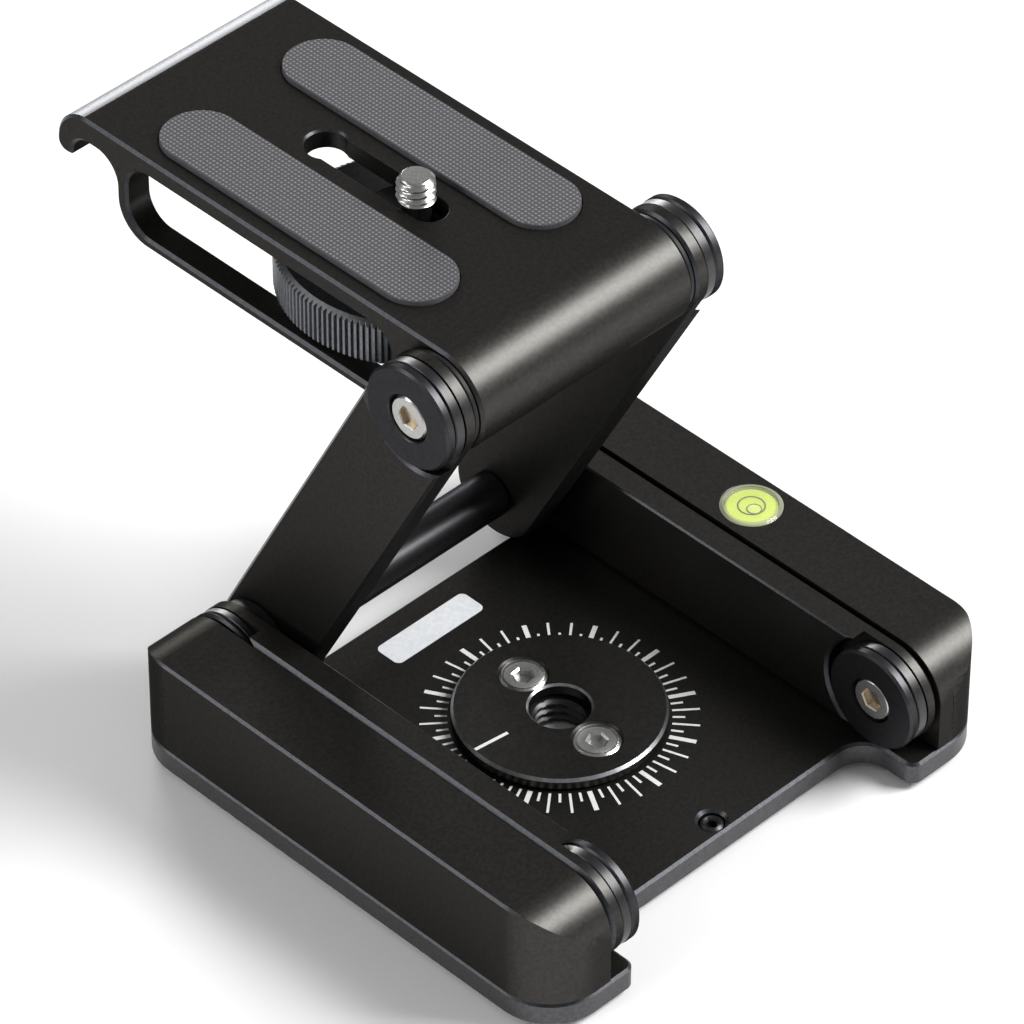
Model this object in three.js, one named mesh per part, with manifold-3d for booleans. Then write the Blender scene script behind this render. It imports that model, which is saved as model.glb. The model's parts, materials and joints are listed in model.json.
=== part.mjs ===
// A flexible tilt head for a camera: a low base with two side blocks, a turning pan disc,
// two pairs of arms on friction hinges, and a camera plate with a sliding clamp screw.
// Millimetres, +Z up, X along the hinge pins, Y to the rear. The head stands on z = 0.

import * as THREE from 'three';
import { mergeVertices } from 'three/addons/utils/BufferGeometryUtils.js';
import Module from 'manifold-3d';

const wasm = await Module();
wasm.setup();

// Fits and broken edges
const seatGap = 0.3;
const edgeBreak = 0.5;
const discBreak = 0.4;
const cutOver = 1.5;

// Base plate and the two side blocks
const baseWidth = 100;
const baseThickness = 4.4;
const baseLift = 1.0;
const tabReach = 11.05;
const tabWidth = 18.8;
const baseCorner = 10;
const tabCorner = 2;
const notchCorner = 5.2;
const blockWidth = 13.1;
const blockEndReach = 9.0;

// Pan bearing: platter below the base, disc above it
const platterInset = 1.15;
const platterRim = 0.7;
const platterFlange = 4.9;
const platterStep = 1.7;
const slipRingBreadth = 6;
const slipRingInset = 0.7;
const slipRingThickness = 0.6;
const hubRadius = 13.7;
const discRadius = 17.4;
const discThickness = 2.0;
const discBore = 5.4;
const panScrewCircle = 9.6;
const panScrewHead = 4.0;
const panScrewShank = 1.7;
const panScrewHeadDepth = 2.3;
const panScrewLength = 5.2;
const panScrewSink = 0.1;
const bushRadius = 6.6;
const bushBore = 4.2;
const brakeScrewFromEdge = 3.09;
const brakeScrewRadius = 1.9;
const brakeScrewSink = 0.4;

// Screws that hold the side blocks from below
const blockScrewSpacing = 48;
const blockScrewShank = 1.5;
const blockScrewHead = 2.9;
const blockScrewHeadDepth = 1.4;
const blockScrewLength = 11;
const blockScrewSink = 0.15;

// Round bubble level in the right side block
const vialRadius = 5.45;
const vialHeight = 4.2;
const vialProud = 0.3;
const vialWall = 0.85;
const vialFloor = 0.8;
const vialLensThickness = 0.9;

// Arms
const armWidth = 17.8;
const lowerSpan = 77.6;
const upperSpan = 77.0;
const lowerArmThickness = 5.2;
const upperArmThickness = 4.9;
const armSideGap = 0.5;
const armSpacing = 2.6;
const thinEnd = 2.2;
const recessRadius = 10.4;
const recessFlare = 0.5;
const upperRise = 62.6;

// Friction hinges
const capRadius = 8.9;
const capThickness = 1.75;
const frictionPlateRadius = 8.6;
const frictionPlateThickness = 1.55;
const slimCapThickness = 1.0;
const slimPlateThickness = 1.1;
const washerRadius = 8.0;
const hingeScrewHead = 3.75;
const hingeScrewSink = 0.25;
const hingeScrewShank = 2.0;
const hingeScrewGrip = 8;
const hingeBushWall = 1.2;
const crossTubeRadius = 4.0;

// Camera plate
const linerThickness = 0.5;
const barrelRadius = 9.0;
const deckThickness = 3.4;
const railThickness = 1.9;
const railWidth = 4.75;
const loopStart = 10.6;
const loopFlat = 2.7;
const endWall = 2.4;
const wallCorner = 6.7;
const socketFit = 0.4;
const socketFlat = 1.6;
const hookThickness = 3.3;
const hookDrop = 0.1;
const hookTip = 2.1;
const hookLip = 0.6;
const shoulderInset = 2;
const windowStart = 12;
const windowCorner = 3;
const windowTop = 3.5;
const wheelRoom = 0.7;

// Rubber pads
const padLength = 61.4;
const padFromEdge = 3.0;
const padFromMiddle = 6.6;
const padCentre = 39;
const padProud = 0.85;
const padSink = 0.5;

// Camera screw, its slide and the knurled wheel
const screwPlace = 28.6;
const screwTravel = 20;
const slotForward = 2.8;
const slotRadius = 3.1;
const keyholeRadius = 3.5;
const threadRadius = 3.175;
const threadStart = 0.8;
const screwRise = 5.1;
const screwPoint = 0.6;
const neckRadius = 2.4;
const slideWasherRadius = 9.5;
const slideWasherThickness = 1.6;
const flangeRadius = 11.2;
const flangeThickness = 1.2;
const wheelInset = 0.3;
const wheelThickness = 8.1;
const knurlDepth = 0.55;
const clipRecessRadius = 7;
const clipRecessDepth = 2.0;
const clipRadius = 5;
const clipThickness = 0.9;

// Counts and angles
const knurlTeeth = 128;
const roundSteps = 28;
const wideSteps = 40;
const plainSteps = 16;
const smallSteps = 12;
const cornerSteps = 4;
const panScrewTurn = 82.7;

// Places that follow from the sizes above
const baseTop = baseLift + baseThickness;
const halfWidth = baseWidth / 2;
const armHalf = armWidth / 2;
const hingeHeight = baseTop + seatGap + armHalf;
const frontHinge = -lowerSpan / 2;
const rearHinge = lowerSpan / 2;
const blockHalf = lowerSpan / 2 + blockEndReach;
const blockTop = hingeHeight + armHalf;
const bodyHalf = blockHalf - tabReach;
const platterRadius = bodyHalf - platterInset;
const platterStepRadius = platterRadius - platterFlange;
const slipRingOuter = platterStepRadius - slipRingInset;
const slipRingInner = slipRingOuter - slipRingBreadth;
const brakeScrewPlace = brakeScrewFromEdge - bodyHalf;
const blockBottom = baseTop + seatGap;
const blockInner = halfWidth - blockWidth;
const blockMiddle = halfWidth - blockWidth / 2;
const lowerArmOuter = blockInner - armSideGap;
const lowerArmInner = lowerArmOuter - lowerArmThickness;
const upperArmOuter = lowerArmInner - armSpacing;
const upperArmInner = upperArmOuter - upperArmThickness;
const plateHalf = upperArmInner - seatGap - linerThickness - seatGap;
const riseAngle = THREE.MathUtils.degToRad(upperRise);
const topHinge = rearHinge - upperSpan * Math.cos(riseAngle);
const topHingeHeight = hingeHeight + upperSpan * Math.sin(riseAngle);
const socketRadius = crossTubeRadius + socketFit;
const wallOuter = upperSpan - socketRadius;
const wallInner = wallOuter - endWall;
const hookInner = upperSpan + socketRadius + socketFlat;
const hookOuter = hookInner + hookThickness;
const hookCorner = socketRadius + hookDrop - hookLip;
const hookShoulder = barrelRadius - shoulderInset;
const padWidth = plateHalf - padFromEdge - padFromMiddle;
const padOffset = padFromMiddle + padWidth / 2;
const wheelRadius = plateHalf - wheelInset;
const deckUnder = barrelRadius - deckThickness;
const loopCorner = (deckUnder + barrelRadius - railThickness - loopFlat) / 2;
const deckTop = topHingeHeight + barrelRadius;
const screwY = topHinge + screwPlace;
const slideWasherTop = topHingeHeight + deckUnder - seatGap;
const flangeTop = slideWasherTop - slideWasherThickness - seatGap;
const wheelTop = flangeTop - flangeThickness - seatGap;
const wheelBottom = wheelTop - wheelThickness;
const shankBore = hingeScrewShank + seatGap;
const hingeBushRadius = shankBore + hingeBushWall;
const centreShift = -(topHinge + hookOuter - blockHalf) / 2;

// Materials
const paint = (color, roughness, metalness) => () =>
  new THREE.MeshStandardMaterial({ color, roughness, metalness });
const blackAlloy = paint(0x1f1c1a, 0.42, 0.6);
const blackDisc = paint(0x222326, 0.36, 0.6);
const darkSteel = paint(0x2c2c2e, 0.4, 0.8);
const brightSteel = paint(0xb9b9b6, 0.28, 0.95);
const bronze = paint(0x9a7b4a, 0.4, 0.8);
const slipPolymer = paint(0x2a2a2c, 0.5, 0.0);
const padRubber = paint(0x4d4d50, 0.9, 0.0);
const clearAcrylic = paint(0xdfe6cf, 0.08, 0.0);
const levelFluid = paint(0xb7d433, 0.1, 0.0);

const group = new THREE.Group();
group.name = 'flexible_tilt_head';

// Keeps positions only, drops flat triangles and turns the surface outward.
function tidy(geometry) {
  const flat = geometry.index ? geometry.toNonIndexed() : geometry;
  const source = flat.attributes.position;
  const a = new THREE.Vector3();
  const b = new THREE.Vector3();
  const c = new THREE.Vector3();
  const kept = [];
  let volume = 0;
  for (let i = 0; i < source.count; i += 3) {
    a.fromBufferAttribute(source, i);
    b.fromBufferAttribute(source, i + 1);
    c.fromBufferAttribute(source, i + 2);
    const area = b.clone().sub(a).cross(c.clone().sub(a)).length();
    if (area > 0 && a.distanceTo(b) * b.distanceTo(c) * c.distanceTo(a) > 0) {
      kept.push([a.toArray(), b.toArray(), c.toArray()]);
      volume += a.dot(b.clone().cross(c));
    }
  }
  const ordered = volume < 0 ? kept.map(([p, q, r]) => [p, r, q]) : kept;
  const result = new THREE.BufferGeometry();
  result.setAttribute('position', new THREE.Float32BufferAttribute(ordered.flat(2), 3));
  result.computeVertexNormals();
  return result;
}

function toManifold(geometry) {
  const bare = tidy(geometry);
  bare.deleteAttribute('normal');
  const welded = mergeVertices(bare, seatGap / 1000);
  return new wasm.Manifold(new wasm.Mesh({
    numProp: 3,
    vertProperties: new Float32Array(welded.attributes.position.array),
    triVerts: new Uint32Array(welded.index.array),
  }));
}

function fromManifold(solid) {
  const mesh = solid.getMesh();
  const result = new THREE.BufferGeometry();
  result.setAttribute('position', new THREE.Float32BufferAttribute(mesh.vertProperties, 3));
  result.setIndex(Array.from(mesh.triVerts));
  return tidy(result);
}

function cutAway(body, tools) {
  let solid = toManifold(body);
  for (const tool of tools) solid = solid.subtract(toManifold(tool));
  return fromManifold(solid);
}

function mirrored(geometry) {
  return tidy(geometry.clone().scale(-1, 1, 1));
}

function add(name, geometry, material) {
  const mesh = new THREE.Mesh(tidy(geometry), material());
  mesh.name = name;
  group.add(mesh);
}

function addPair(name, rightGeometry, material) {
  add(`${name}_left`, mirrored(rightGeometry), material);
  add(`${name}_right`, rightGeometry, material);
}

// A closed outline from corner points; each corner is [x, y, radius].
function outline(corners) {
  const points = [];
  corners.forEach(([x, y, radius], i) => {
    const corner = new THREE.Vector2(x, y);
    const before = corners[(i + corners.length - 1) % corners.length];
    const after = corners[(i + 1) % corners.length];
    if (radius === 0) {
      points.push(corner);
      return;
    }
    const back = new THREE.Vector2(before[0], before[1]).sub(corner).normalize();
    const ahead = new THREE.Vector2(after[0], after[1]).sub(corner).normalize();
    const halfAngle = Math.acos(THREE.MathUtils.clamp(back.dot(ahead), -1, 1)) / 2;
    const centre = back.clone().add(ahead).normalize().multiplyScalar(radius / Math.sin(halfAngle));
    centre.add(corner);
    const run = radius / Math.tan(halfAngle);
    const first = back.multiplyScalar(run).add(corner).sub(centre).angle();
    const last = ahead.multiplyScalar(run).add(corner).sub(centre).angle();
    let sweep = last - first;
    if (sweep > Math.PI) sweep -= 2 * Math.PI;
    if (sweep < -Math.PI) sweep += 2 * Math.PI;
    for (let k = 0; k <= cornerSteps; k += 1) {
      const angle = first + (sweep * k) / cornerSteps;
      points.push(new THREE.Vector2(radius * Math.cos(angle), radius * Math.sin(angle)).add(centre));
    }
  });
  return points;
}

function arc(x, y, radius, from, to, steps) {
  const points = [];
  for (let k = 0; k <= steps; k += 1) {
    const angle = THREE.MathUtils.degToRad(from + ((to - from) * k) / steps);
    points.push(new THREE.Vector2(x + radius * Math.cos(angle), y + radius * Math.sin(angle)));
  }
  return points;
}

function circle(x, y, radius, steps) {
  return arc(x, y, radius, 0, 360, steps).slice(0, steps);
}

// A flat piece of the given outline between two levels, with both rims broken.
function slab(points, bottom, top, rim, holes = []) {
  const shape = new THREE.Shape(points);
  shape.holes = holes.map((hole) => new THREE.Path(hole));
  const geometry = new THREE.ExtrudeGeometry(shape, {
    depth: top - bottom - 2 * rim,
    bevelEnabled: rim > 0,
    bevelThickness: rim,
    bevelSize: rim,
    bevelOffset: -rim,
    bevelSegments: 1,
  });
  return tidy(geometry.translate(0, 0, bottom + rim));
}

// The same piece standing on edge: its outline lies in Y and Z, its thickness along X.
function sideSlab(points, inner, outer, rim, holes = []) {
  const turn = new THREE.Matrix4().makeBasis(
    new THREE.Vector3(0, 1, 0),
    new THREE.Vector3(0, 0, 1),
    new THREE.Vector3(1, 0, 0),
  );
  return tidy(slab(points, inner, outer, rim, holes).applyMatrix4(turn));
}

// A turned piece; its profile is [radius, height] pairs.
function turned(profile, steps) {
  const points = profile.map(([radius, height]) => new THREE.Vector2(radius, height));
  const lathe = new THREE.LatheGeometry(points, steps);
  lathe.deleteAttribute('normal');
  lathe.deleteAttribute('uv');
  return tidy(mergeVertices(lathe, seatGap / 1000)).rotateX(Math.PI / 2);
}

// A turned piece about a line along X, at the given place in Y and Z.
function turnedOnPin(profile, steps, y, z) {
  const lying = turned(profile, steps).rotateY(Math.PI / 2);
  return tidy(lying.translate(0, y, z));
}

function rod(radius, bottom, top) {
  return [[0, bottom], [radius, bottom], [radius, top], [0, top]];
}

function ring(inner, outer, bottom, top) {
  return [[inner, bottom], [outer, bottom], [outer, top], [inner, top], [inner, bottom]];
}

// A ring whose upper outer edge and upper bore edge are broken.
function brokenRing(inner, outer, bottom, top, rim) {
  return [
    [inner, bottom],
    [outer, bottom],
    [outer, top - rim],
    [outer - rim, top],
    [inner + rim, top],
    [inner, top - rim],
    [inner, bottom],
  ];
}

function flipped(profile, level) {
  return profile.map(([radius, height]) => [radius, 2 * level - height]);
}

// Pan bearing

function addPanBearing() {
  const onCircle = (geometry, turn) => {
    const angle = THREE.MathUtils.degToRad(turn);
    return tidy(geometry).translate(panScrewCircle * Math.cos(angle), panScrewCircle * Math.sin(angle), 0);
  };
  const screwTurns = [panScrewTurn, panScrewTurn + 180];
  const discBottom = baseTop + seatGap;
  const discTop = discBottom + discThickness;
  const headTop = discTop - panScrewSink;
  const coneEnd = headTop - panScrewHeadDepth;
  const screwEnd = headTop - panScrewLength;

  const platter = turned([
    [bushRadius + seatGap, 0],
    [platterRadius - platterRim / 2, 0],
    [platterRadius, platterRim / 2],
    [platterRadius, platterRim],
    [platterStepRadius, platterRim],
    [platterStepRadius, platterStep],
    [hubRadius, platterStep],
    [hubRadius, baseTop],
    [bushRadius + seatGap, baseTop],
    [bushRadius + seatGap, 0],
  ], wideSteps);
  const tappedHole = rod(panScrewShank + seatGap, screwEnd - seatGap, baseTop + cutOver);
  add('pan_platter', cutAway(platter, screwTurns.map((turn) =>
    onCircle(turned(tappedHole, smallSteps), turn))), blackAlloy);

  const slipBottom = platterStep + seatGap;
  add('pan_slip_ring', turned(
    ring(slipRingInner, slipRingOuter, slipBottom, slipBottom + slipRingThickness), roundSteps), slipPolymer);

  const disc = turned(brokenRing(discBore, discRadius, discBottom, discTop, discBreak), wideSteps);
  const headCut = [
    [0, coneEnd - cutOver],
    [panScrewShank + seatGap, coneEnd - cutOver],
    [panScrewShank + seatGap, coneEnd],
    [panScrewHead + seatGap, headTop],
    [panScrewHead + seatGap, headTop + cutOver],
    [0, headTop + cutOver],
  ];
  add('pan_disc', cutAway(disc, screwTurns.map((turn) =>
    onCircle(turned(headCut, plainSteps), turn))), blackDisc);

  const screw = [
    [0, screwEnd],
    [panScrewShank, screwEnd],
    [panScrewShank, coneEnd],
    [panScrewHead, headTop - panScrewSink],
    [panScrewHead, headTop],
    [0, headTop],
  ];
  ['rear', 'front'].forEach((end, i) =>
    add(`pan_screw_${end}`, onCircle(turned(screw, plainSteps), screwTurns[i]), brightSteel));

  add('tripod_bush', turned(ring(bushBore, bushRadius, seatGap, baseTop - seatGap), roundSteps), darkSteel);
}

// Base plate, side blocks and what they hold

function baseOutline() {
  const tabInner = halfWidth - tabWidth;
  const rightFront = [
    [tabInner, -bodyHalf, notchCorner],
    [tabInner, -blockHalf, tabCorner],
    [halfWidth, -blockHalf, baseCorner],
  ];
  const rightRear = rightFront.map(([x, y, radius]) => [x, -y, radius]).reverse();
  const right = rightFront.concat(rightRear);
  const left = right.map(([x, y, radius]) => [-x, y, radius]).reverse();
  return outline(right.concat(left));
}

function blockScrewPlaces() {
  return [-blockScrewSpacing / 2, blockScrewSpacing / 2];
}

function addBasePlate() {
  const bore = hubRadius + seatGap;
  const plate = slab(baseOutline(), baseLift, baseTop, edgeBreak);
  const boreCut = turned(rod(bore, baseLift - cutOver, baseTop + cutOver), wideSteps);
  const slipTop = platterStep + seatGap + slipRingThickness + seatGap;
  const recess = turned(rod(platterStepRadius + seatGap, baseLift - cutOver, slipTop), wideSteps);
  const brakeHole = turned(rod(brakeScrewRadius + seatGap, baseLift - cutOver, baseTop + cutOver), smallSteps)
    .translate(0, brakeScrewPlace, 0);
  const headBottom = baseLift + blockScrewSink;
  const screwHole = [
    [0, baseLift - cutOver],
    [blockScrewHead + seatGap, baseLift - cutOver],
    [blockScrewHead + seatGap, headBottom],
    [blockScrewShank + seatGap, headBottom + blockScrewHeadDepth],
    [blockScrewShank + seatGap, baseTop + cutOver],
    [0, baseTop + cutOver],
  ];
  const screwHoles = [-1, 1].flatMap((side) => blockScrewPlaces().map((y) =>
    turned(screwHole, smallSteps).translate(side * blockMiddle, y, 0)));
  add('base_plate', cutAway(plate, [boreCut, recess, brakeHole, ...screwHoles]), blackAlloy);

  const brakeScrew = rod(brakeScrewRadius, platterRim + seatGap, baseTop - brakeScrewSink);
  add('pan_brake_screw', turned(brakeScrew, smallSteps).translate(0, brakeScrewPlace, 0), darkSteel);
}

function sideBlock() {
  const plan = outline([
    [blockInner, -blockHalf, 0],
    [halfWidth, -blockHalf, baseCorner],
    [halfWidth, blockHalf, baseCorner],
    [blockInner, blockHalf, 0],
  ]);
  const side = outline([
    [-blockHalf, blockBottom, 0],
    [blockHalf, blockBottom, 0],
    [blockHalf, blockTop, armHalf],
    [-blockHalf, blockTop, armHalf],
  ]);
  const upright = toManifold(slab(plan, blockBottom, blockTop, edgeBreak));
  const lying = toManifold(sideSlab(side, blockInner, halfWidth, 0));
  return fromManifold(upright.intersect(lying));
}

function addSideBlocks() {
  const tapped = rod(blockScrewShank + seatGap, blockBottom - cutOver, baseLift + blockScrewLength + seatGap);
  const screwHoles = blockScrewPlaces().map((y) => turned(tapped, smallSteps).translate(blockMiddle, y, 0));
  const pinHole = turnedOnPin(
    rod(shankBore, blockInner - cutOver, blockInner + hingeScrewGrip + seatGap),
    smallSteps,
    frontHinge,
    hingeHeight,
  );
  const vialPocket = turned(
    rod(vialRadius + seatGap, blockTop + vialProud - vialHeight - seatGap, blockTop + cutOver),
    roundSteps,
  ).translate(blockMiddle, 0, 0);
  const plain = cutAway(sideBlock(), [...screwHoles, pinHole]);
  add('side_block_left', mirrored(plain), blackAlloy);
  add('side_block_right', cutAway(plain, [vialPocket]), blackAlloy);

  const headBottom = baseLift + blockScrewSink;
  const screw = [
    [0, headBottom],
    [blockScrewHead, headBottom],
    [blockScrewShank, headBottom + blockScrewHeadDepth],
    [blockScrewShank, baseLift + blockScrewLength],
    [0, baseLift + blockScrewLength],
  ];
  ['front', 'rear'].forEach((end, i) => addPair(`block_screw_${end}`,
    turned(screw, smallSteps).translate(blockMiddle, blockScrewPlaces()[i], 0), darkSteel));
}

function addBubbleLevel() {
  const top = blockTop + vialProud;
  const bottom = top - vialHeight;
  const inner = vialRadius - vialWall;
  const place = (geometry) => geometry.translate(blockMiddle, 0, 0);
  add('vial_cup', place(turned([
    [0, bottom],
    [vialRadius, bottom],
    [vialRadius, top - vialWall / 2],
    [vialRadius - vialWall / 2, top],
    [inner, top],
    [inner, bottom + vialFloor],
    [0, bottom + vialFloor],
  ], roundSteps)), clearAcrylic);
  const lensBottom = top - vialLensThickness;
  add('vial_fluid', place(turned(
    rod(inner - seatGap, bottom + vialFloor + seatGap, lensBottom - seatGap), plainSteps)), levelFluid);
  add('vial_lens', place(turned(rod(inner - seatGap, lensBottom, top), roundSteps)), clearAcrylic);
}

// Arms. An arm's outline runs from its first hinge along Y; it is turned and placed afterwards.

function armOutline(span) {
  const half = roundSteps / 2;
  return [
    ...arc(span, 0, armHalf, -90, 90, half),
    ...arc(0, 0, armHalf, 90, 270, half),
  ];
}

// Cuts the round recess that thins an arm's end, from the face at `open` down to `floor`.
function endRecess(place, floor, open) {
  const out = Math.sign(open - floor);
  return turnedOnPin([
    [0, floor],
    [recessRadius, floor],
    [recessRadius, open - out * recessFlare],
    [recessRadius + recessFlare + cutOver, open + out * cutOver],
    [0, open + out * cutOver],
  ], roundSteps, place, 0);
}

function pinBore(place, radius) {
  return turnedOnPin(rod(radius, plateHalf - cutOver, halfWidth), smallSteps, place, 0);
}

function addArms() {
  const bushBoreRadius = hingeBushRadius + seatGap;
  const lower = cutAway(sideSlab(armOutline(lowerSpan), lowerArmInner, lowerArmOuter, edgeBreak), [
    endRecess(0, lowerArmOuter - thinEnd, lowerArmInner),
    endRecess(lowerSpan, lowerArmInner + thinEnd, lowerArmOuter),
    pinBore(0, bushBoreRadius),
    pinBore(lowerSpan, bushBoreRadius),
  ]);
  addPair('lower_arm', lower.translate(0, frontHinge, hingeHeight), blackAlloy);

  const upper = cutAway(sideSlab(armOutline(upperSpan), upperArmInner, upperArmOuter, edgeBreak), [
    endRecess(upperSpan, upperArmInner + thinEnd, upperArmOuter),
    pinBore(upperSpan, bushBoreRadius),
    pinBore(0, shankBore),
  ]);
  addPair('upper_arm', upper.rotateX(Math.PI - riseAngle).translate(0, rearHinge, hingeHeight), blackAlloy);

  const tubeEnd = upperArmInner - seatGap;
  const tube = [
    [0, hingeScrewGrip - tubeEnd],
    [shankBore, hingeScrewGrip - tubeEnd],
    [shankBore, -tubeEnd],
    [crossTubeRadius, -tubeEnd],
    [crossTubeRadius, tubeEnd],
    [shankBore, tubeEnd],
    [shankBore, tubeEnd - hingeScrewGrip],
    [0, tubeEnd - hingeScrewGrip],
  ];
  add('cross_tube', turnedOnPin(tube, roundSteps, rearHinge, hingeHeight), blackAlloy);
}

// Friction hinges. Each stack is a bush in the arm, a friction plate, a cap and a screw.
// `floor` is the arm face that the stack lies on and `out` is the way it builds up.

function addHinge(name, y, z, arm, floor, out, plateThickness, capThick, gripEnd) {
  const place = (profile, steps) => turnedOnPin(profile, steps, y, z);
  const plateStart = floor + out * seatGap;
  const plateEnd = plateStart + out * plateThickness;
  const capStart = plateEnd + out * seatGap;
  const capEnd = capStart + out * capThick;
  const headStart = plateEnd + out * seatGap;
  const headEnd = capEnd - out * hingeScrewSink;
  const armStart = Math.min(...arm) + seatGap / 2;
  const armEnd = Math.max(...arm) - seatGap / 2;

  addPair(`${name}_bush`, place(ring(shankBore, hingeBushRadius, armStart, armEnd), smallSteps), bronze);
  addPair(`${name}_friction_plate`, place(
    ring(shankBore, frictionPlateRadius, plateStart, plateEnd), plainSteps), darkSteel);
  const rim = Math.min(discBreak, capThick / 3);
  const cap = brokenRing(hingeScrewHead + seatGap, capRadius, 0, capThick, rim);
  const outward = out > 0 ? cap : flipped(cap, 0);
  addPair(`${name}_cap`, place(outward.map(([r, h]) => [r, h + capStart]), roundSteps), blackDisc);
  addPair(`${name}_screw`, place([
    [0, headEnd],
    [hingeScrewHead - rim / 2, headEnd],
    [hingeScrewHead, headEnd - (out * rim) / 2],
    [hingeScrewHead, headStart],
    [hingeScrewShank, headStart],
    [hingeScrewShank, gripEnd],
    [0, gripEnd],
  ], plainSteps), brightSteel);
}

function addHinges() {
  const lowerFloor = lowerArmOuter - thinEnd;
  addHinge('lower_hinge', frontHinge, hingeHeight, [lowerFloor, lowerArmOuter], lowerFloor, -1,
    frictionPlateThickness, capThickness, blockInner + hingeScrewGrip);

  const middleFloor = lowerArmInner + thinEnd;
  const tubeGrip = upperArmInner - hingeScrewGrip;
  addHinge('middle_hinge', rearHinge, hingeHeight, [lowerArmInner, middleFloor], middleFloor, 1,
    slimPlateThickness, slimCapThickness, tubeGrip);
  addPair('middle_hinge_washer', turnedOnPin(
    ring(shankBore, washerRadius, upperArmOuter + seatGap, lowerArmInner - seatGap),
    plainSteps, rearHinge, hingeHeight), slipPolymer);

  const upperFloor = upperArmInner + thinEnd;
  addHinge('upper_hinge', topHinge, topHingeHeight, [upperArmInner, upperFloor], upperFloor, 1,
    frictionPlateThickness, capThickness, plateHalf - hingeScrewGrip);
  addPair('upper_hinge_liner', turnedOnPin(
    ring(shankBore, washerRadius, plateHalf + seatGap, upperArmInner - seatGap),
    plainSteps, topHinge, topHingeHeight), slipPolymer);
}

// Camera plate

function plateProfile() {
  return [
    ...outline([
      [0, -barrelRadius, 0],
      [wallOuter, -barrelRadius, wallCorner],
      [wallOuter, socketRadius, socketRadius],
      [hookInner, socketRadius, hookCorner],
      [hookInner, -hookDrop, hookLip],
      [hookOuter, -hookDrop, hookTip],
      [hookOuter, barrelRadius, hookShoulder],
      [0, barrelRadius, 0],
    ]),
    ...arc(0, 0, barrelRadius, 90, 270, roundSteps / 2).slice(1, -1),
  ];
}

function loopProfile() {
  return outline([
    [loopStart, railThickness - barrelRadius, loopCorner],
    [wallInner, railThickness - barrelRadius, loopCorner],
    [wallInner, deckUnder, loopCorner],
    [loopStart, deckUnder, loopCorner],
  ]);
}

function obround(halfBreadth, from, to) {
  return [
    ...arc(0, to, halfBreadth, 0, 180, roundSteps / 4),
    ...arc(0, from, halfBreadth, 180, 360, roundSteps / 4),
  ];
}

function addCameraPlate() {
  const windowHalf = plateHalf - railWidth;
  const windowRoom = outline([
    [-windowHalf, windowStart, windowCorner],
    [windowHalf, windowStart, windowCorner],
    [windowHalf, upperSpan, 0],
    [-windowHalf, upperSpan, 0],
  ]);
  const body = sideSlab(plateProfile(), -plateHalf, plateHalf, edgeBreak, [loopProfile()]);
  const wheelUpper = wheelTop - topHingeHeight + seatGap;
  const wheelLower = wheelBottom - topHingeHeight - seatGap;
  const wheelPocket = turned(rod(wheelRadius + wheelRoom, wheelLower, wheelUpper), wideSteps)
    .translate(0, screwPlace, 0);
  const slotTop = barrelRadius + cutOver;
  const slotBottom = deckUnder - cutOver;
  const slot = slab(obround(slotRadius, screwPlace - slotForward, screwPlace + screwTravel), slotBottom, slotTop, 0);
  const keyhole = turned(rod(keyholeRadius, slotBottom, slotTop), roundSteps / 2)
    .translate(0, screwPlace + screwTravel, 0);
  const padHalf = padWidth / 2;
  const padRun = padLength / 2 - padHalf;
  const padSeat = slab(obround(padHalf + seatGap, padCentre - padRun, padCentre + padRun),
    barrelRadius - padSink, slotTop, 0);
  const pinHole = turnedOnPin(rod(shankBore, plateHalf - hingeScrewGrip - seatGap, plateHalf + cutOver),
    smallSteps, 0, 0);
  const plate = cutAway(body, [
    slab(windowRoom, -barrelRadius - cutOver, windowTop, 0),
    wheelPocket,
    slot,
    keyhole,
    padSeat.clone().translate(padOffset, 0, 0),
    padSeat.clone().translate(-padOffset, 0, 0),
    pinHole,
    mirrored(pinHole),
  ]);
  add('camera_plate', plate.translate(0, topHinge, topHingeHeight), blackAlloy);

  const pad = slab(obround(padHalf, padCentre - padRun, padCentre + padRun),
    deckTop - padSink + seatGap, deckTop + padProud, 0);
  addPair('pad', pad.translate(padOffset, topHinge, 0), padRubber);
}

// Camera screw with its slide, flange, wheel and clip

function wheelOutline() {
  const points = [];
  for (let tooth = 0; tooth < knurlTeeth; tooth += 1) {
    const angle = (2 * Math.PI * tooth) / knurlTeeth;
    const next = angle + Math.PI / knurlTeeth;
    const valley = wheelRadius - knurlDepth;
    points.push(new THREE.Vector2(wheelRadius * Math.cos(angle), wheelRadius * Math.sin(angle)));
    points.push(new THREE.Vector2(valley * Math.cos(next), valley * Math.sin(next)));
  }
  return points;
}

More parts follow.
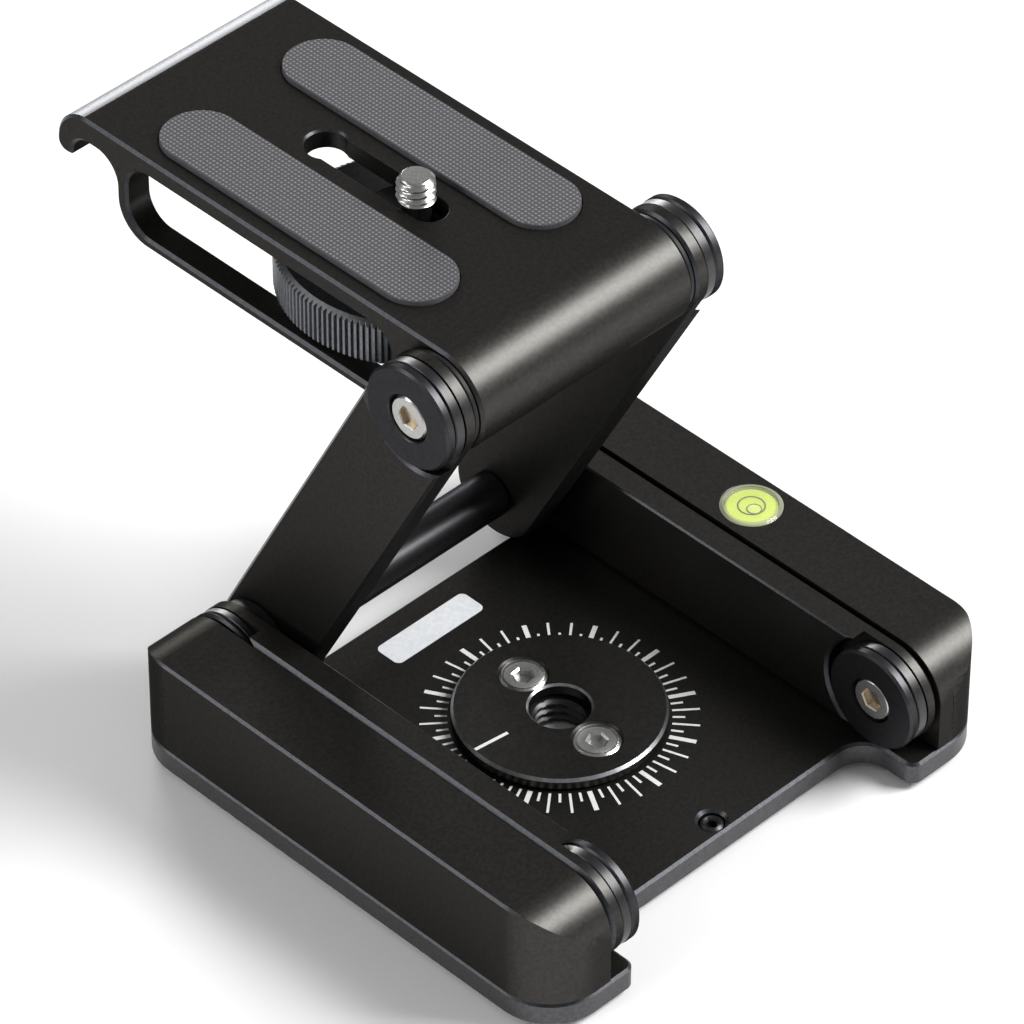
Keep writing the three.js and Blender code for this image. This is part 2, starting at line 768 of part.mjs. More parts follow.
function addCameraScrew() {
  const place = (geometry) => geometry.translate(0, screwY, 0);
  const neckBore = neckRadius + seatGap;
  add('slide_washer', place(turned(
    ring(neckBore, slideWasherRadius, slideWasherTop - slideWasherThickness, slideWasherTop),
    plainSteps)), slipPolymer);
  add('screw_flange', place(turned(
    ring(neckBore, flangeRadius, flangeTop - flangeThickness, flangeTop), roundSteps)), brightSteel);

  const wheel = slab(wheelOutline(), wheelBottom, wheelTop, 0, [
    circle(0, 0, neckBore, smallSteps).reverse(),
  ]);
  const clipRecess = turned(
    rod(clipRecessRadius, wheelBottom - cutOver, wheelBottom + clipRecessDepth), roundSteps);
  add('knurled_wheel', place(cutAway(wheel, [clipRecess])), blackDisc);
  const clipTop = wheelBottom + clipRecessDepth - seatGap;
  add('wheel_clip', place(turned(
    ring(neckBore, clipRadius, clipTop - clipThickness, clipTop), plainSteps)), brightSteel);

  const screwTop = deckTop + screwRise;
  const screwBottom = wheelBottom + seatGap;
  add('camera_screw', place(turned([
    [0, screwBottom],
    [neckRadius, screwBottom],
    [neckRadius, deckTop + threadStart - (threadRadius - neckRadius)],
    [threadRadius, deckTop + threadStart],
    [threadRadius, screwTop - screwPoint],
    [threadRadius - screwPoint, screwTop],
    [0, screwTop],
  ], plainSteps)), brightSteel);
}

addPanBearing();
addBasePlate();
addSideBlocks();
addBubbleLevel();
addArms();
addHinges();
addCameraPlate();
addCameraScrew();

group.position.y = centreShift;
group.updateMatrixWorld(true);

export default group;
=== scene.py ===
# %% [markdown]
# # A flexible tilt head in black anodised aluminium
# The head has a low base with two side blocks, a pan disc, two pairs of arms on friction hinges and a
# camera plate with a clamp screw. The CAD model of the same head is the fixed frame. Each cell below
# makes a part of the visible object on that frame.

# %% Start from the CAD frame
import json
import math

import bmesh
import bpy
from mathutils import Matrix, Vector


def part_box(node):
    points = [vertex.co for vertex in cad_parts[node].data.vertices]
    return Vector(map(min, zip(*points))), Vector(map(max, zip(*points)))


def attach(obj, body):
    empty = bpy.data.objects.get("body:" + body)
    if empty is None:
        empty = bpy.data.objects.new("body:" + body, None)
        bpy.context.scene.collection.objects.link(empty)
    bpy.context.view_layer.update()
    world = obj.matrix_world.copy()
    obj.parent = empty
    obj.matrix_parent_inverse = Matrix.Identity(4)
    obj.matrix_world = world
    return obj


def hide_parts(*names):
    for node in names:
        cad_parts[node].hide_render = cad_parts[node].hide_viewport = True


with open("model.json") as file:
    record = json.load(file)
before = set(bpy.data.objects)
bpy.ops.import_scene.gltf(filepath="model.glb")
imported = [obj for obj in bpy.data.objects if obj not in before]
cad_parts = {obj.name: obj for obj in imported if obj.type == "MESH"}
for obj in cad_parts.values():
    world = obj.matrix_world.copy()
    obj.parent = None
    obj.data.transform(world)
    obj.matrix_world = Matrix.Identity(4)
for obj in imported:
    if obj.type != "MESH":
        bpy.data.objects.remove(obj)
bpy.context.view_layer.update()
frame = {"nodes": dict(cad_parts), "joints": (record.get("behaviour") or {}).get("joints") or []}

MM = 0.001
BEYOND = MM  # how far a cutter reaches past the face that it opens
SAME_POINT = 1e-7  # vertices nearer than this are one
SAME_LEVEL = 1e-6  # a vertex nearer than this to a face lies on it
ARM_END = 8.9  # radius of the arms' round ends and of the side blocks' upper corners, in millimetres
PIN_BORE = 2.3 * MM  # radius of every hole that a hinge screw goes into
PIN_DEPTH = 8.3 * MM
BUSH_BORE = 3.8 * MM
SCREW_BORE = 2.7 * MM  # radius of the holes round the camera screw
joints = {joint["name"]: joint for joint in frame["joints"]}
PAN, FRONT, REAR, TOP, SCREW = (
    Vector(joints[name]["pos_m"])
    for name in ("pan_swivel", "lower_hinge", "middle_hinge", "upper_hinge", "wheel_spin")
)
print("hinges at", [tuple(round(c / MM, 2) for c in p) for p in (FRONT, REAR, TOP)])

# %% [markdown]
# ## Small tools
# Most pieces here are milled or turned, so two helpers do most of the work. `plate` takes a circle,
# moves its vertices on to an outline and extrudes it, as a cutter follows an outline through sheet.
# `spun` draws half a section beside an axis and spins it, as a lathe does. `rod` is the plainest turned
# solid, and mostly a drill.

# %% Helpers for selecting and placing
def activate(piece):
    if bpy.context.object and bpy.context.object.mode != "OBJECT":
        bpy.ops.object.mode_set(mode="OBJECT")
    bpy.ops.object.select_all(action="DESELECT")
    piece.select_set(True)
    bpy.context.view_layer.objects.active = piece


def newest(name):
    piece = bpy.context.object
    piece.name = name
    piece.data.name = name
    return piece


def settle(piece):
    activate(piece)
    bpy.ops.object.transform_apply(location=True, rotation=True, scale=True)
    return piece


def edit_all(piece):
    """Opens a piece in edit mode, with its whole mesh selected."""
    activate(piece)
    bpy.ops.object.mode_set(mode="EDIT")
    bpy.ops.mesh.select_all(action="SELECT")


def leave_edit():
    bpy.ops.object.mode_set(mode="OBJECT")


def face_outward(piece):
    edit_all(piece)
    bpy.ops.mesh.remove_doubles(threshold=SAME_POINT)
    bpy.ops.mesh.normals_make_consistent(inside=False)
    leave_edit()
    return piece


# %% Helpers for outlines, in metres
def around(angle):
    return Vector((math.cos(angle), math.sin(angle)))


def rounded(corners, steps):
    """A closed outline from corners [u, v, radius], given in millimetres."""
    points = []
    for i, (u, v, radius) in enumerate(corners):
        here = Vector((u, v)) * MM
        if not radius:
            points.append(here)
            continue
        before = (Vector(corners[i - 1][:2]) * MM - here).normalized()
        after = (Vector(corners[(i + 1) % len(corners)][:2]) * MM - here).normalized()
        half = math.acos(max(-1, min(1, before.dot(after)))) / 2
        centre = here + (before + after).normalized() * (radius * MM / math.sin(half))
        run = radius * MM / math.tan(half)
        first, last = here + before * run - centre, here + after * run - centre
        start = math.atan2(first.y, first.x)
        sweep = (math.atan2(last.y, last.x) - start + math.pi) % (2 * math.pi) - math.pi
        points += [centre + around(start + sweep * k / steps) * radius * MM for k in range(steps + 1)]
    return points


def stadium(first, last, radius, steps=32):
    """Two half circles joined by straight sides, from first to last."""
    first, last = Vector(first), Vector(last)
    along = math.atan2(last.y - first.y, last.x - first.x)
    points = []
    for centre, turn in ((last, along - math.pi / 2), (first, along + math.pi / 2)):
        points += [centre + around(turn + math.pi * k / steps) * radius for k in range(steps + 1)]
    return points


def oblong(u_low, u_high, v_low, v_high, corner, steps):
    return rounded([(u_low, v_low, corner), (u_high, v_low, corner),
                    (u_high, v_high, corner), (u_low, v_high, corner)], steps)


def hexagon(centre, size, turn=0):
    """A hexagon's corners. Its size, from the centre to a corner, is in millimetres."""
    return [centre + around(turn + k * math.pi / 3) * size * MM for k in range(6)]


def moved(points, shift):
    return [p + Vector(shift) for p in points]


def grown(points, centre, share):
    return [centre + (p - centre) * share for p in points]


def in_space(axis, level, u, v):
    return {"x": (level, u, v), "y": (u, level, v), "z": (u, v, level)}[axis]


# %% Helpers that make solids
def plate(name, points, axis, low, high, far=None):
    """Extrudes an outline along an axis. With far, the end at high has that outline instead."""
    bpy.ops.mesh.primitive_circle_add(vertices=len(points), radius=1, fill_type="NGON")
    piece = newest(name)
    for vertex, (u, v) in zip(piece.data.vertices, points):
        vertex.co = in_space(axis, low, u, v)
    edit_all(piece)
    travel = in_space(axis, high - low, 0, 0)
    bpy.ops.mesh.extrude_region_move(TRANSFORM_OT_translate={"value": travel})
    leave_edit()
    if far:
        level = "xyz".index(axis)
        for vertex in piece.data.vertices:
            if abs(vertex.co[level] - high) < SAME_POINT:
                flat = Vector([c for i, c in enumerate(vertex.co) if i != level])
                nearest = min(range(len(points)), key=lambda i: (Vector(points[i]) - flat).length)
                vertex.co = in_space(axis, high, *far[nearest])
    return face_outward(piece)


def spun(name, section, axis, centre, steps=128):
    """Spins a closed half section, [radius, level] in metres, round an axis through centre."""
    bpy.ops.mesh.primitive_circle_add(vertices=len(section), radius=1, fill_type="NOTHING")
    piece = newest(name)
    x, y, z = centre
    for vertex, (radius, level) in zip(piece.data.vertices, section):
        vertex.co = (level, y + radius, z) if axis == "x" else (x + radius, y, level)
    edit_all(piece)
    bpy.ops.mesh.spin(steps=steps, angle=2 * math.pi, center=centre,
                      axis=(1, 0, 0) if axis == "x" else (0, 0, 1))
    bpy.ops.mesh.select_all(action="SELECT")
    bpy.ops.mesh.remove_doubles(threshold=SAME_LEVEL)
    bpy.ops.mesh.delete_loose(use_verts=True, use_edges=True, use_faces=False)
    leave_edit()
    return face_outward(piece)


def rod(name, radius, low, high, axis, centre, steps=128):
    return spun(name, [(0, low), (radius, low), (radius, high), (0, high)], axis, centre, steps)


def broken(radius, low, high, edge):
    """A half section's outer side, with both corners broken."""
    return [(radius - edge, low), (radius, low + edge), (radius, high - edge), (radius - edge, high)]


def cut(piece, *tools, how="DIFFERENCE"):
    for tool in tools:
        activate(piece)
        change = piece.modifiers.new("cut", "BOOLEAN")
        change.operation = how
        change.solver = "EXACT"
        change.object = tool
        bpy.ops.object.modifier_apply(modifier=change.name)
        bpy.data.objects.remove(tool, do_unlink=True)


# %% Helpers for edges
def bevel(piece, wanted, width, steps=1):
    """Bevels the real edges (not seams inside a flat face) whose two ends pass the test."""
    real_edge = math.radians(20)
    activate(piece)
    bpy.ops.object.mode_set(mode="EDIT")
    bpy.ops.mesh.select_mode(type="EDGE")
    bpy.ops.mesh.select_all(action="DESELECT")
    mesh = bmesh.from_edit_mesh(piece.data)
    for edge in mesh.edges:
        a, b = (vertex.co for vertex in edge.verts)
        if edge.calc_face_angle(0) > real_edge and wanted(a) and wanted(b):
            edge.select_set(True)
    bmesh.update_edit_mesh(piece.data)
    bpy.ops.mesh.bevel(offset=width, segments=steps, profile=0.5, affect="EDGES", clamp_overlap=False)
    leave_edit()


def at(axis, *levels):
    i = "xyz".index(axis)
    return lambda p: any(abs(p[i] - level) < SAME_LEVEL for level in levels)


def merge_slivers(piece, nearer, flatter):
    """Joins vertices that all but touch and faces that all but share a plane."""
    edit_all(piece)
    bpy.ops.mesh.remove_doubles(threshold=nearer)
    bpy.ops.mesh.dissolve_limited(angle_limit=flatter)
    leave_edit()


# %% Helpers for finishing a piece
def smooth(piece, angle):
    """Rounds the shading, but keeps flat faces flat and real edges sharp."""
    activate(piece)
    bpy.ops.object.shade_smooth_by_angle(angle=math.radians(angle))
    change = piece.modifiers.new("flat faces first", "WEIGHTED_NORMAL")
    change.keep_sharp = True
    change.weight = 100
    bpy.ops.object.modifier_apply(modifier=change.name)


def slanted(n, axis):
    """True for a normal that leans between the axis and the plane across it, as a chamfer's does."""
    return 0.3 < abs(n["xyz".index(axis)]) < 0.95


def brighten(piece, surface, wanted):
    """Gives a second finish to the faces whose centre and normal pass the test. On the black parts that
    finish is a painted highlight or a painted reflection.
    """
    piece.data.materials.append(surface)
    for face in piece.data.polygons:
        if wanted(face.center, face.normal):
            face.material_index = len(piece.data.materials) - 1


def twin(piece, name):
    """The left-hand twin, with its own mesh, mirrored across the middle of the head."""
    other = piece.copy()
    other.data = piece.data.copy()
    other.name = other.data.name = name
    bpy.context.scene.collection.objects.link(other)
    other.scale.x = -1
    settle(other)
    return face_outward(other)


def finish(piece, body, slot, surface, *nodes, angle=28):
    """Shades a piece, gives it a finish and hangs it on its body, in place of its CAD nodes."""
    smooth(piece, angle)
    piece.data.materials.clear()
    piece.data.materials.append(surface)
    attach(piece, body)
    if nodes:
        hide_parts(*nodes)


def finish_pair(piece, name, body, slot, surface):
    """Finishes a right-hand piece and its left-hand twin, for the CAD nodes of that name."""
    other = twin(piece, f"{name}_left_look")
    piece.name = f"{name}_right_look"
    finish(other, body, slot, surface, f"{name}_left")
    finish(piece, body, slot, surface, f"{name}_right")
    return piece, other


# %% [markdown]
# ## Finishes
# Black anodised aluminium is a metal with a dark base colour and a rather rough surface, so it mirrors a
# lamp as a broad soft highlight. A black Specular Tint keeps faces seen at a slant from turning white.
# Chamfers, the base plate's sides and the camera plate's rear shoulder get paler copies of the black alloy
# from
# `brighten`: painted highlights and painted reflections. Object coordinates carry the fine grain, so it
# doesn't swim when the joints move.

# %% Materials
def colour(text):
    """A colour written as hex, in the linear light that Blender works in."""
    parts = [int(text[i:i + 2], 16) / 255 for i in (0, 2, 4)]
    return tuple(c / 12.92 if c <= 0.04045 else ((c + 0.055) / 1.055) ** 2.4 for c in parts) + (1,)


def grained(name, dark, light, rough, spread,
            specular=0.5, metallic=0.0, scale=1500, bump=0.05, depth=0.00003):
    """A surface whose colour, roughness and height vary a little with a fine noise."""
    material = bpy.data.materials.new(name)
    material.use_nodes = True
    nodes, links = material.node_tree.nodes, material.node_tree.links
    shader = nodes["Principled BSDF"]
    shader.inputs["Metallic"].default_value = metallic
    shader.inputs["Specular IOR Level"].default_value = specular
    place = nodes.new("ShaderNodeTexCoord")
    noise = nodes.new("ShaderNodeTexNoise")
    noise.inputs["Scale"].default_value = scale
    noise.inputs["Detail"].default_value = 3
    ramp = nodes.new("ShaderNodeValToRGB")
    for stop, position, shade in zip(ramp.color_ramp.elements, (0.35, 0.65), (dark, light)):
        stop.position, stop.color = position, colour(shade)
    span = nodes.new("ShaderNodeMapRange")
    span.inputs["To Min"].default_value = rough - spread
    span.inputs["To Max"].default_value = rough + spread
    height = nodes.new("ShaderNodeBump")
    height.inputs["Strength"].default_value = bump
    height.inputs["Distance"].default_value = depth
    links.new(place.outputs["Object"], noise.inputs["Vector"])
    links.new(noise.outputs["Fac"], ramp.inputs["Fac"])
    links.new(ramp.outputs["Color"], shader.inputs["Base Color"])
    links.new(noise.outputs["Fac"], span.inputs["Value"])
    links.new(span.outputs["Result"], shader.inputs["Roughness"])
    links.new(noise.outputs["Fac"], height.inputs["Height"])
    links.new(height.outputs["Normal"], shader.inputs["Normal"])
    return material


# %% Black finishes
black_alloy = grained("black anodised alloy", "403f3d", "474644", 0.38, 0.03, specular=0.3, metallic=0.9)
black_disc = grained("black turned alloy", "3f3f41", "454547", 0.37, 0.03, specular=0.3, metallic=0.88)
for dyed in (black_alloy, black_disc):
    dyed.node_tree.nodes["Principled BSDF"].inputs["Specular Tint"].default_value = (0, 0, 0, 1)
# painted highlight: a paler copy of the black alloy for chamfers that the lamps leave dull
painted_chamfer_highlight = grained("chamfer with painted highlight", "404144", "4b4c50", 0.36, 0.03, metallic=0.9)
# soft painted highlight for the camera plate's chamfers
soft_painted_highlight = grained("chamfer with soft painted highlight", "343538", "3f4044", 0.36, 0.03, metallic=0.85)
# painted reflection: a paler black for sides that mirror the floor
side_painted_reflection = grained("side with painted reflection", "505052", "5c5c5e", 0.4, 0.03, metallic=0.9)
# painted sheen: a lighter black with a white Specular Tint, for the rear shoulder only
painted_shoulder_sheen = grained("black alloy with painted sheen", "46474a", "4d4e52", 0.38, 0.03, metallic=0.94)
# painted highlight for turned rims: the wheel's bevels and the pan disc's edges
turned_chamfer_highlight = grained("turned chamfer with painted highlight", "96979a", "a6a7aa", 0.3, 0.03, metallic=0.95)
print("black finishes", len(bpy.data.materials))

# %% Steel, bronze and plastic
dark_steel = grained("blackened steel", "151517", "1b1b1e", 0.34, 0.04)
bright_steel = grained("stainless steel", "b2b2b0", "bebdba", 0.26, 0.02, metallic=1.0, scale=2500, bump=0.01)
warm_socket = grained("warm pale socket", "b8ac9a", "d0c4b0", 0.32, 0.05, metallic=1.0, scale=700)
satin_steel = grained("satin steel", "b8b8b6", "c6c5c2", 0.42, 0.02, metallic=1.0, scale=2500, bump=0.01)
# painted highlight: the wheel is lighter grey than the black parts, for the light on its teeth
wheel_alloy_painted_light = grained("knurled alloy painted lighter", "6c6e72", "7a7c80", 0.4, 0.03, metallic=0.9)
bronze = grained("sintered bronze", "7d6138", "96774a", 0.4, 0.05, metallic=0.9)
slip_polymer = grained("slip polymer", "1d1d1f", "242426", 0.45, 0.04, specular=0.2)
print("finishes", len(bpy.data.materials))

# %% [markdown]
# ## Rubber of the pads
# The pads are rubber sheet with a fine weave pressed into it. Two crossing waves, a little uneven,
# make the little squares, and they lift the surface as well as tint it.

# %% Pad rubber
def woven_rubber(threads=420, unevenness=0.9, unevenness_scale=2.5, lift=0.00018):
    """Rubber with a woven face. The lift of the threads is in metres."""
    material = bpy.data.materials.new("woven rubber")
    material.use_nodes = True
    nodes, links = material.node_tree.nodes, material.node_tree.links
    shader = nodes["Principled BSDF"]
    shader.inputs["Roughness"].default_value = 0.75
    shader.inputs["Specular IOR Level"].default_value = 0.35
    place = nodes.new("ShaderNodeTexCoord")
    weave = nodes.new("ShaderNodeMath")
    weave.operation = "MULTIPLY"
    for strand, turn in enumerate((0, 90)):
        map_node = nodes.new("ShaderNodeMapping")
        map_node.inputs["Rotation"].default_value = (0, 0, math.radians(turn))
        wave = nodes.new("ShaderNodeTexWave")
        wave.bands_direction = "X"
        wave.inputs["Scale"].default_value = threads
        wave.inputs["Distortion"].default_value = unevenness
        wave.inputs["Detail Scale"].default_value = unevenness_scale
        links.new(place.outputs["Object"], map_node.inputs["Vector"])
        links.new(map_node.outputs["Vector"], wave.inputs["Vector"])
        links.new(wave.outputs["Fac"], weave.inputs[strand])
    ramp = nodes.new("ShaderNodeValToRGB")
    ramp.color_ramp.elements[0].color = colour("434346")
    ramp.color_ramp.elements[1].color = colour("7e7e82")
    height = nodes.new("ShaderNodeBump")
    height.inputs["Strength"].default_value = 0.6
    height.inputs["Distance"].default_value = lift
    links.new(weave.outputs["Value"], ramp.inputs["Fac"])
    links.new(ramp.outputs["Color"], shader.inputs["Base Color"])
    links.new(weave.outputs["Value"], height.inputs["Height"])
    links.new(height.outputs["Normal"], shader.inputs["Normal"])
    return material


pad_rubber = woven_rubber()
pad_side = grained("moulded rubber", "47474a", "525256", 0.7, 0.05, specular=0.3, bump=0.02)
print("rubber", pad_rubber.name, "and", pad_side.name)

# %% [markdown]
# ## Base plate
# The base plate is milled from flat bar: a rounded rectangle with two tongues at each end, under the
# side blocks, and a broken edge all round. The pan bearing sits in a hole in the middle.

# %% Base plate outline
low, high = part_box("base_plate")
mid_y = (low.y + high.y) / 2
half_x = high.x / MM
reach = (high.y - mid_y) / MM
tongue, body_half = 31.2, 36.75
edge = 0.45 * MM
quarter = [(tongue, -body_half, 5.2), (tongue, -reach, 2), (half_x, -reach, 10)]
right_side = quarter + [(x, -y, r) for x, y, r in reversed(quarter)]
corners = right_side + [(-x, y, r) for x, y, r in reversed(right_side)]
base_plate = plate("base_plate_look", moved(rounded(corners, 18), (0, mid_y)), "z", low.z, high.z)
bevel(base_plate, at("z", low.z, high.z), edge)
print("base plate", [round(d / MM, 1) for d in base_plate.dimensions], "mm")

# %% Holes in the base plate
hub_hole = 14 * MM
slip_recess, slip_recess_top = 31 * MM, 2.9 * MM
brake_hole, brake_flare, brake_sink = 2.2 * MM, 3.2 * MM, 0.5 * MM
screw_x, screw_y = 43.45 * MM, 24 * MM
head_hole, head_depth = 3.2 * MM, 1.15 * MM
shank_hole, cone_top = 1.8 * MM, 2.55 * MM
cut(
    base_plate,
    rod("hub hole", hub_hole, low.z - BEYOND, high.z + BEYOND, "z", PAN),
    rod("slip recess", slip_recess, 0, slip_recess_top, "z", PAN),
)
brake_low, brake_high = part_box("pan_brake_screw")
brake = (brake_low + brake_high) / 2
cut(base_plate, spun("brake hole", [
    (0, low.z - BEYOND), (brake_hole, low.z - BEYOND), (brake_hole, high.z - brake_sink),
    (brake_flare, high.z + brake_sink), (0, high.z + brake_sink)], "z", brake, 48))
for side in (-1, 1):
    for end in (-1, 1):
        cut(base_plate, spun("block screw hole", [
            (0, 0), (head_hole, 0), (head_hole, head_depth), (shank_hole, cone_top),
            (shank_hole, high.z + BEYOND), (0, high.z + BEYOND)],
            "z", Vector((side * screw_x, mid_y + end * screw_y, 0)), 32))
print("holes in the base plate 7")

# %% Finish of the base plate
chamfer_zone = 0.56 * MM
bearing_zone = 32 * MM
body_wall = (body_half - 1) * MM
finish(base_plate, "base", "black_alloy", black_alloy, "base_plate")
# painted highlight on the base plate's top chamfer
brighten(base_plate, painted_chamfer_highlight, lambda c, n: slanted(n, "z") and n.z > 0 and c.z > high.z - chamfer_zone)
# painted reflection on the base plate's outer sides
brighten(base_plate, side_painted_reflection, lambda c, n: abs(n.z) < 0.3 and (
    abs(c.x) > bearing_zone or abs(c.y - mid_y) > body_wall))
print("base plate", len(base_plate.data.polygons), "faces")

# %% [markdown]
# ## Side blocks
# Each block is bar stock rounded twice: its two outer corners in plan, and both ends of its top seen
# from the side. The crossing of the two solids gives the sharp crease where the roundings meet.

# %% Side blocks
low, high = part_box("side_block_right")
mid_y = (low.y + high.y) / 2
half_y = (high.y - mid_y) / MM
inner, outer = low.x / MM, high.x / MM
corner = 10
past_end = half_y + 0.01  # so that no two faces of the solids coincide
block_edge = 0.42 * MM
plan = rounded([
    (inner, -half_y, 0), (outer, -half_y, corner), (outer, half_y, corner), (inner, half_y, 0)], 28)
side_view = rounded([
    (-past_end, low.z / MM - 1, 0), (past_end, low.z / MM - 1, 0), (past_end, high.z / MM, ARM_END),
    (-past_end, high.z / MM, ARM_END)], 24)
block = plate("side_block_right_look", moved(plan, (0, mid_y)), "z", low.z, high.z)
bevel(block, lambda p: abs(p.z - high.z) < SAME_LEVEL and p.x > low.x + 2 * MM, block_edge)
cut(block, plate("side view", moved(side_view, (mid_y, 0)), "x", low.x - BEYOND, high.x + BEYOND),
    how="INTERSECT")
cut(block, rod("pin hole", PIN_BORE, low.x - BEYOND, low.x + PIN_DEPTH, "x", FRONT, 32))
merge_slivers(block, nearer=0.03 * MM, flatter=math.radians(0.3))
left_block = twin(block, "side_block_left_look")
print("side block", [round(d / MM, 1) for d in block.dimensions], "mm")

# %% Level pocket and finish of the blocks
cup_low, cup_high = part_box("vial_cup")
level_spot = Vector(((cup_low.x + cup_high.x) / 2, (cup_low.y + cup_high.y) / 2, 0))
pocket, pocket_mouth = 5.24 * MM, 5.44 * MM
pocket_floor = cup_low.z - 0.3 * MM
lip = 0.1 * MM
cut(block, spun("level pocket", [
    (0, pocket_floor), (pocket, pocket_floor), (pocket, high.z - lip), (pocket_mouth, high.z + lip),
    (0, high.z + lip)], "z", level_spot, 96))
finish(left_block, "base", "black_alloy", black_alloy, "side_block_left")
finish(block, "base", "black_alloy", black_alloy, "side_block_right")
chamfer_zone = block_edge + 0.01 * MM
straight_half = (half_y - 9.5) * MM
# painted highlight on the blocks' top outer chamfer
for piece in (left_block, block):
    brighten(piece, painted_chamfer_highlight, lambda c, n: (
        slanted(n, "z") and abs(c.x) > high.x - chamfer_zone and c.z > high.z - chamfer_zone
        and abs(c.y - mid_y) < straight_half))
print("level pocket", round(2 * pocket / MM, 1), "mm across")

# %% [markdown]
# ## Arms
# The arms are flat bars with full round ends. Each hinge end is milled thin from one side, inside a round
# wall a little wider than the bar, so that the friction discs sink into the bar's thickness.

# %% Arms
def recess(name, spot, floor, opening):
    """The round cutter that thins an arm's end; its wall flares where it leaves the face."""
    out = 1 if opening > floor else -1
    wall, mouth = 10.4 * MM, 12.4 * MM
    flare_from, flare_to = opening - out * 0.5 * MM, opening + out * 1.5 * MM
    return spun(name, [
        (0, floor), (wall, floor), (wall, flare_from), (mouth, flare_to), (0, flare_to)], "x", spot, 128)


def bar(node, first, last, inner_edge, outer_edge):
    """The right-hand bar between two hinges, with both of its long edges broken."""
    low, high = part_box(f"{node}_right")
    piece = plate(f"{node}_right_look", stadium(first.yz, last.yz, ARM_END * MM, 48), "x", low.x, high.x)
    bevel(piece, at("x", high.x), outer_edge)
    bevel(piece, at("x", low.x), inner_edge)
    return piece, low.x, high.x


thin_end = 2.2 * MM
lower, inner_x, outer_x = bar("lower_arm", FRONT, REAR, inner_edge=0.3 * MM, outer_edge=0.7 * MM)
cut(lower,
    recess("front recess", FRONT, outer_x - thin_end, inner_x),
    recess("rear recess", REAR, inner_x + thin_end, outer_x),
    rod("front bore", BUSH_BORE, inner_x - BEYOND, outer_x + BEYOND, "x", FRONT, 48),
    rod("rear bore", BUSH_BORE, inner_x - BEYOND, outer_x + BEYOND, "x", REAR, 48))
# painted highlight on the lower arms' chamfers
for piece in finish_pair(lower, "lower_arm", "lower_arms", "black_alloy", black_alloy):
    brighten(piece, painted_chamfer_highlight, lambda c, n: slanted(n, "x"))

upper, inner_x, outer_x = bar("upper_arm", REAR, TOP, inner_edge=0.45 * MM, outer_edge=0.5 * MM)
cut(upper,
    recess("top recess", TOP, inner_x + thin_end, outer_x),
    rod("top bore", BUSH_BORE, inner_x - BEYOND, outer_x + BEYOND, "x", TOP, 48),
    rod("rear bore", PIN_BORE, inner_x - BEYOND, outer_x + BEYOND, "x", REAR, 48))
# painted highlight on the upper arms' chamfers
for piece in finish_pair(upper, "upper_arm", "upper_frame", "black_alloy", black_alloy):
    brighten(piece, painted_chamfer_highlight, lambda c, n: slanted(n, "x"))
print("arms", round((REAR - FRONT).length / MM, 1), round((TOP - REAR).length / MM, 1), "mm between pins")

# %% [markdown]
# ## Cross tube
# A round bar ties the two upper arms together at the rear hinge. Its ends are bored for the hinge screws.

# %% Cross tube
low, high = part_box("cross_tube")
bore_depth = 8 * MM
tube = spun("cross_tube_look", [
    (0, low.x + bore_depth), (PIN_BORE, low.x + bore_depth), (PIN_BORE, low.x),
    *broken(4 * MM, low.x, high.x, 0.3 * MM),
    (PIN_BORE, high.x), (PIN_BORE, high.x - bore_depth), (0, high.x - bore_depth)], "x", REAR, 96)
finish(tube, "upper_frame", "black_alloy", black_disc, "cross_tube")
print("cross tube", round((high.x - low.x) / MM, 1), "mm")

# %% [markdown]
# ## Friction hinges
# Each hinge is a stack: a bush in the thinned end of the arm, a friction disc, a cap, and a screw that
# squeezes them. The discs are turned with a broken edge, and the screw has a hexagon socket. A disc may be
# a little larger than its CAD node, so that no light shows through the play beside it.

# %% Turned discs
def disc(node, edge, body, slot, surface, bore, steps=128, grow=(0, 0), wider=0):
    """A turned ring in the CAD node's place, with both outer edges broken. It may grow into its gaps."""
    low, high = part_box(f"{node}_right")
    radius = (high.z - low.z) / 2 + wider
    near, far = low.x - grow[0], high.x + grow[1]
    ring = spun(node, [
        (bore, near), *broken(radius, near, far, edge), (bore + edge / 2, far), (bore, far - edge / 2)],
        "x", (low + high) / 2, steps)
    finish_pair(ring, node, body, slot, surface)


# %% Hinge screws
def hinge_screw(node, out, body):
    """A low round head with a hexagon socket, on a plain shank. It faces out along X, or inward at -1."""
    low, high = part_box(f"{node}_right")
    spot = (low + high) / 2
    face, back = (high.x, low.x) if out > 0 else (low.x, high.x)
    radius, edge, shank = (high.z - low.z) / 2, 0.35 * MM, 2 * MM
    under, socket_floor = face - out * 1.2 * MM, face - out * 0.9 * MM
    socket, mouth_share, lip = 1.95, 1.22, 0.22 * MM
    socket_zone, rim_zone = 2.2 * MM, 0.4 * MM
    head = spun(node, [
        (0, back), (shank, back), (shank, under), (radius, under), (radius, face - out * edge),
        (radius - edge, face), (0, face)], "x", spot, 96)
    sides = hexagon(spot.yz, socket)
    mouth = grown(sides, spot.yz, mouth_share)
    cut(head, plate("socket", sides, "x", *sorted((socket_floor, face + out * BEYOND))))
    if out > 0:
        cut(head, plate("socket mouth", sides, "x", face - lip, face + lip, far=mouth))
    else:
        cut(head, plate("socket mouth", mouth, "x", face - lip, face + lip, far=sides))

    def in_socket(c, n):
        depth = abs(abs(c.x) - abs(face))
        return 0.03 * MM < depth < 1.1 * MM and (c - spot).yz.length < socket_zone

    def on_rim(c, n):
        return slanted(n, "x") and (c - spot).yz.length > radius - rim_zone

    for piece in finish_pair(head, node, body, "bright_steel", satin_steel):
        # the sockets get a warm pale metal, lighter than the heads
        brighten(piece, warm_socket, in_socket)
        brighten(piece, bright_steel, on_rim)


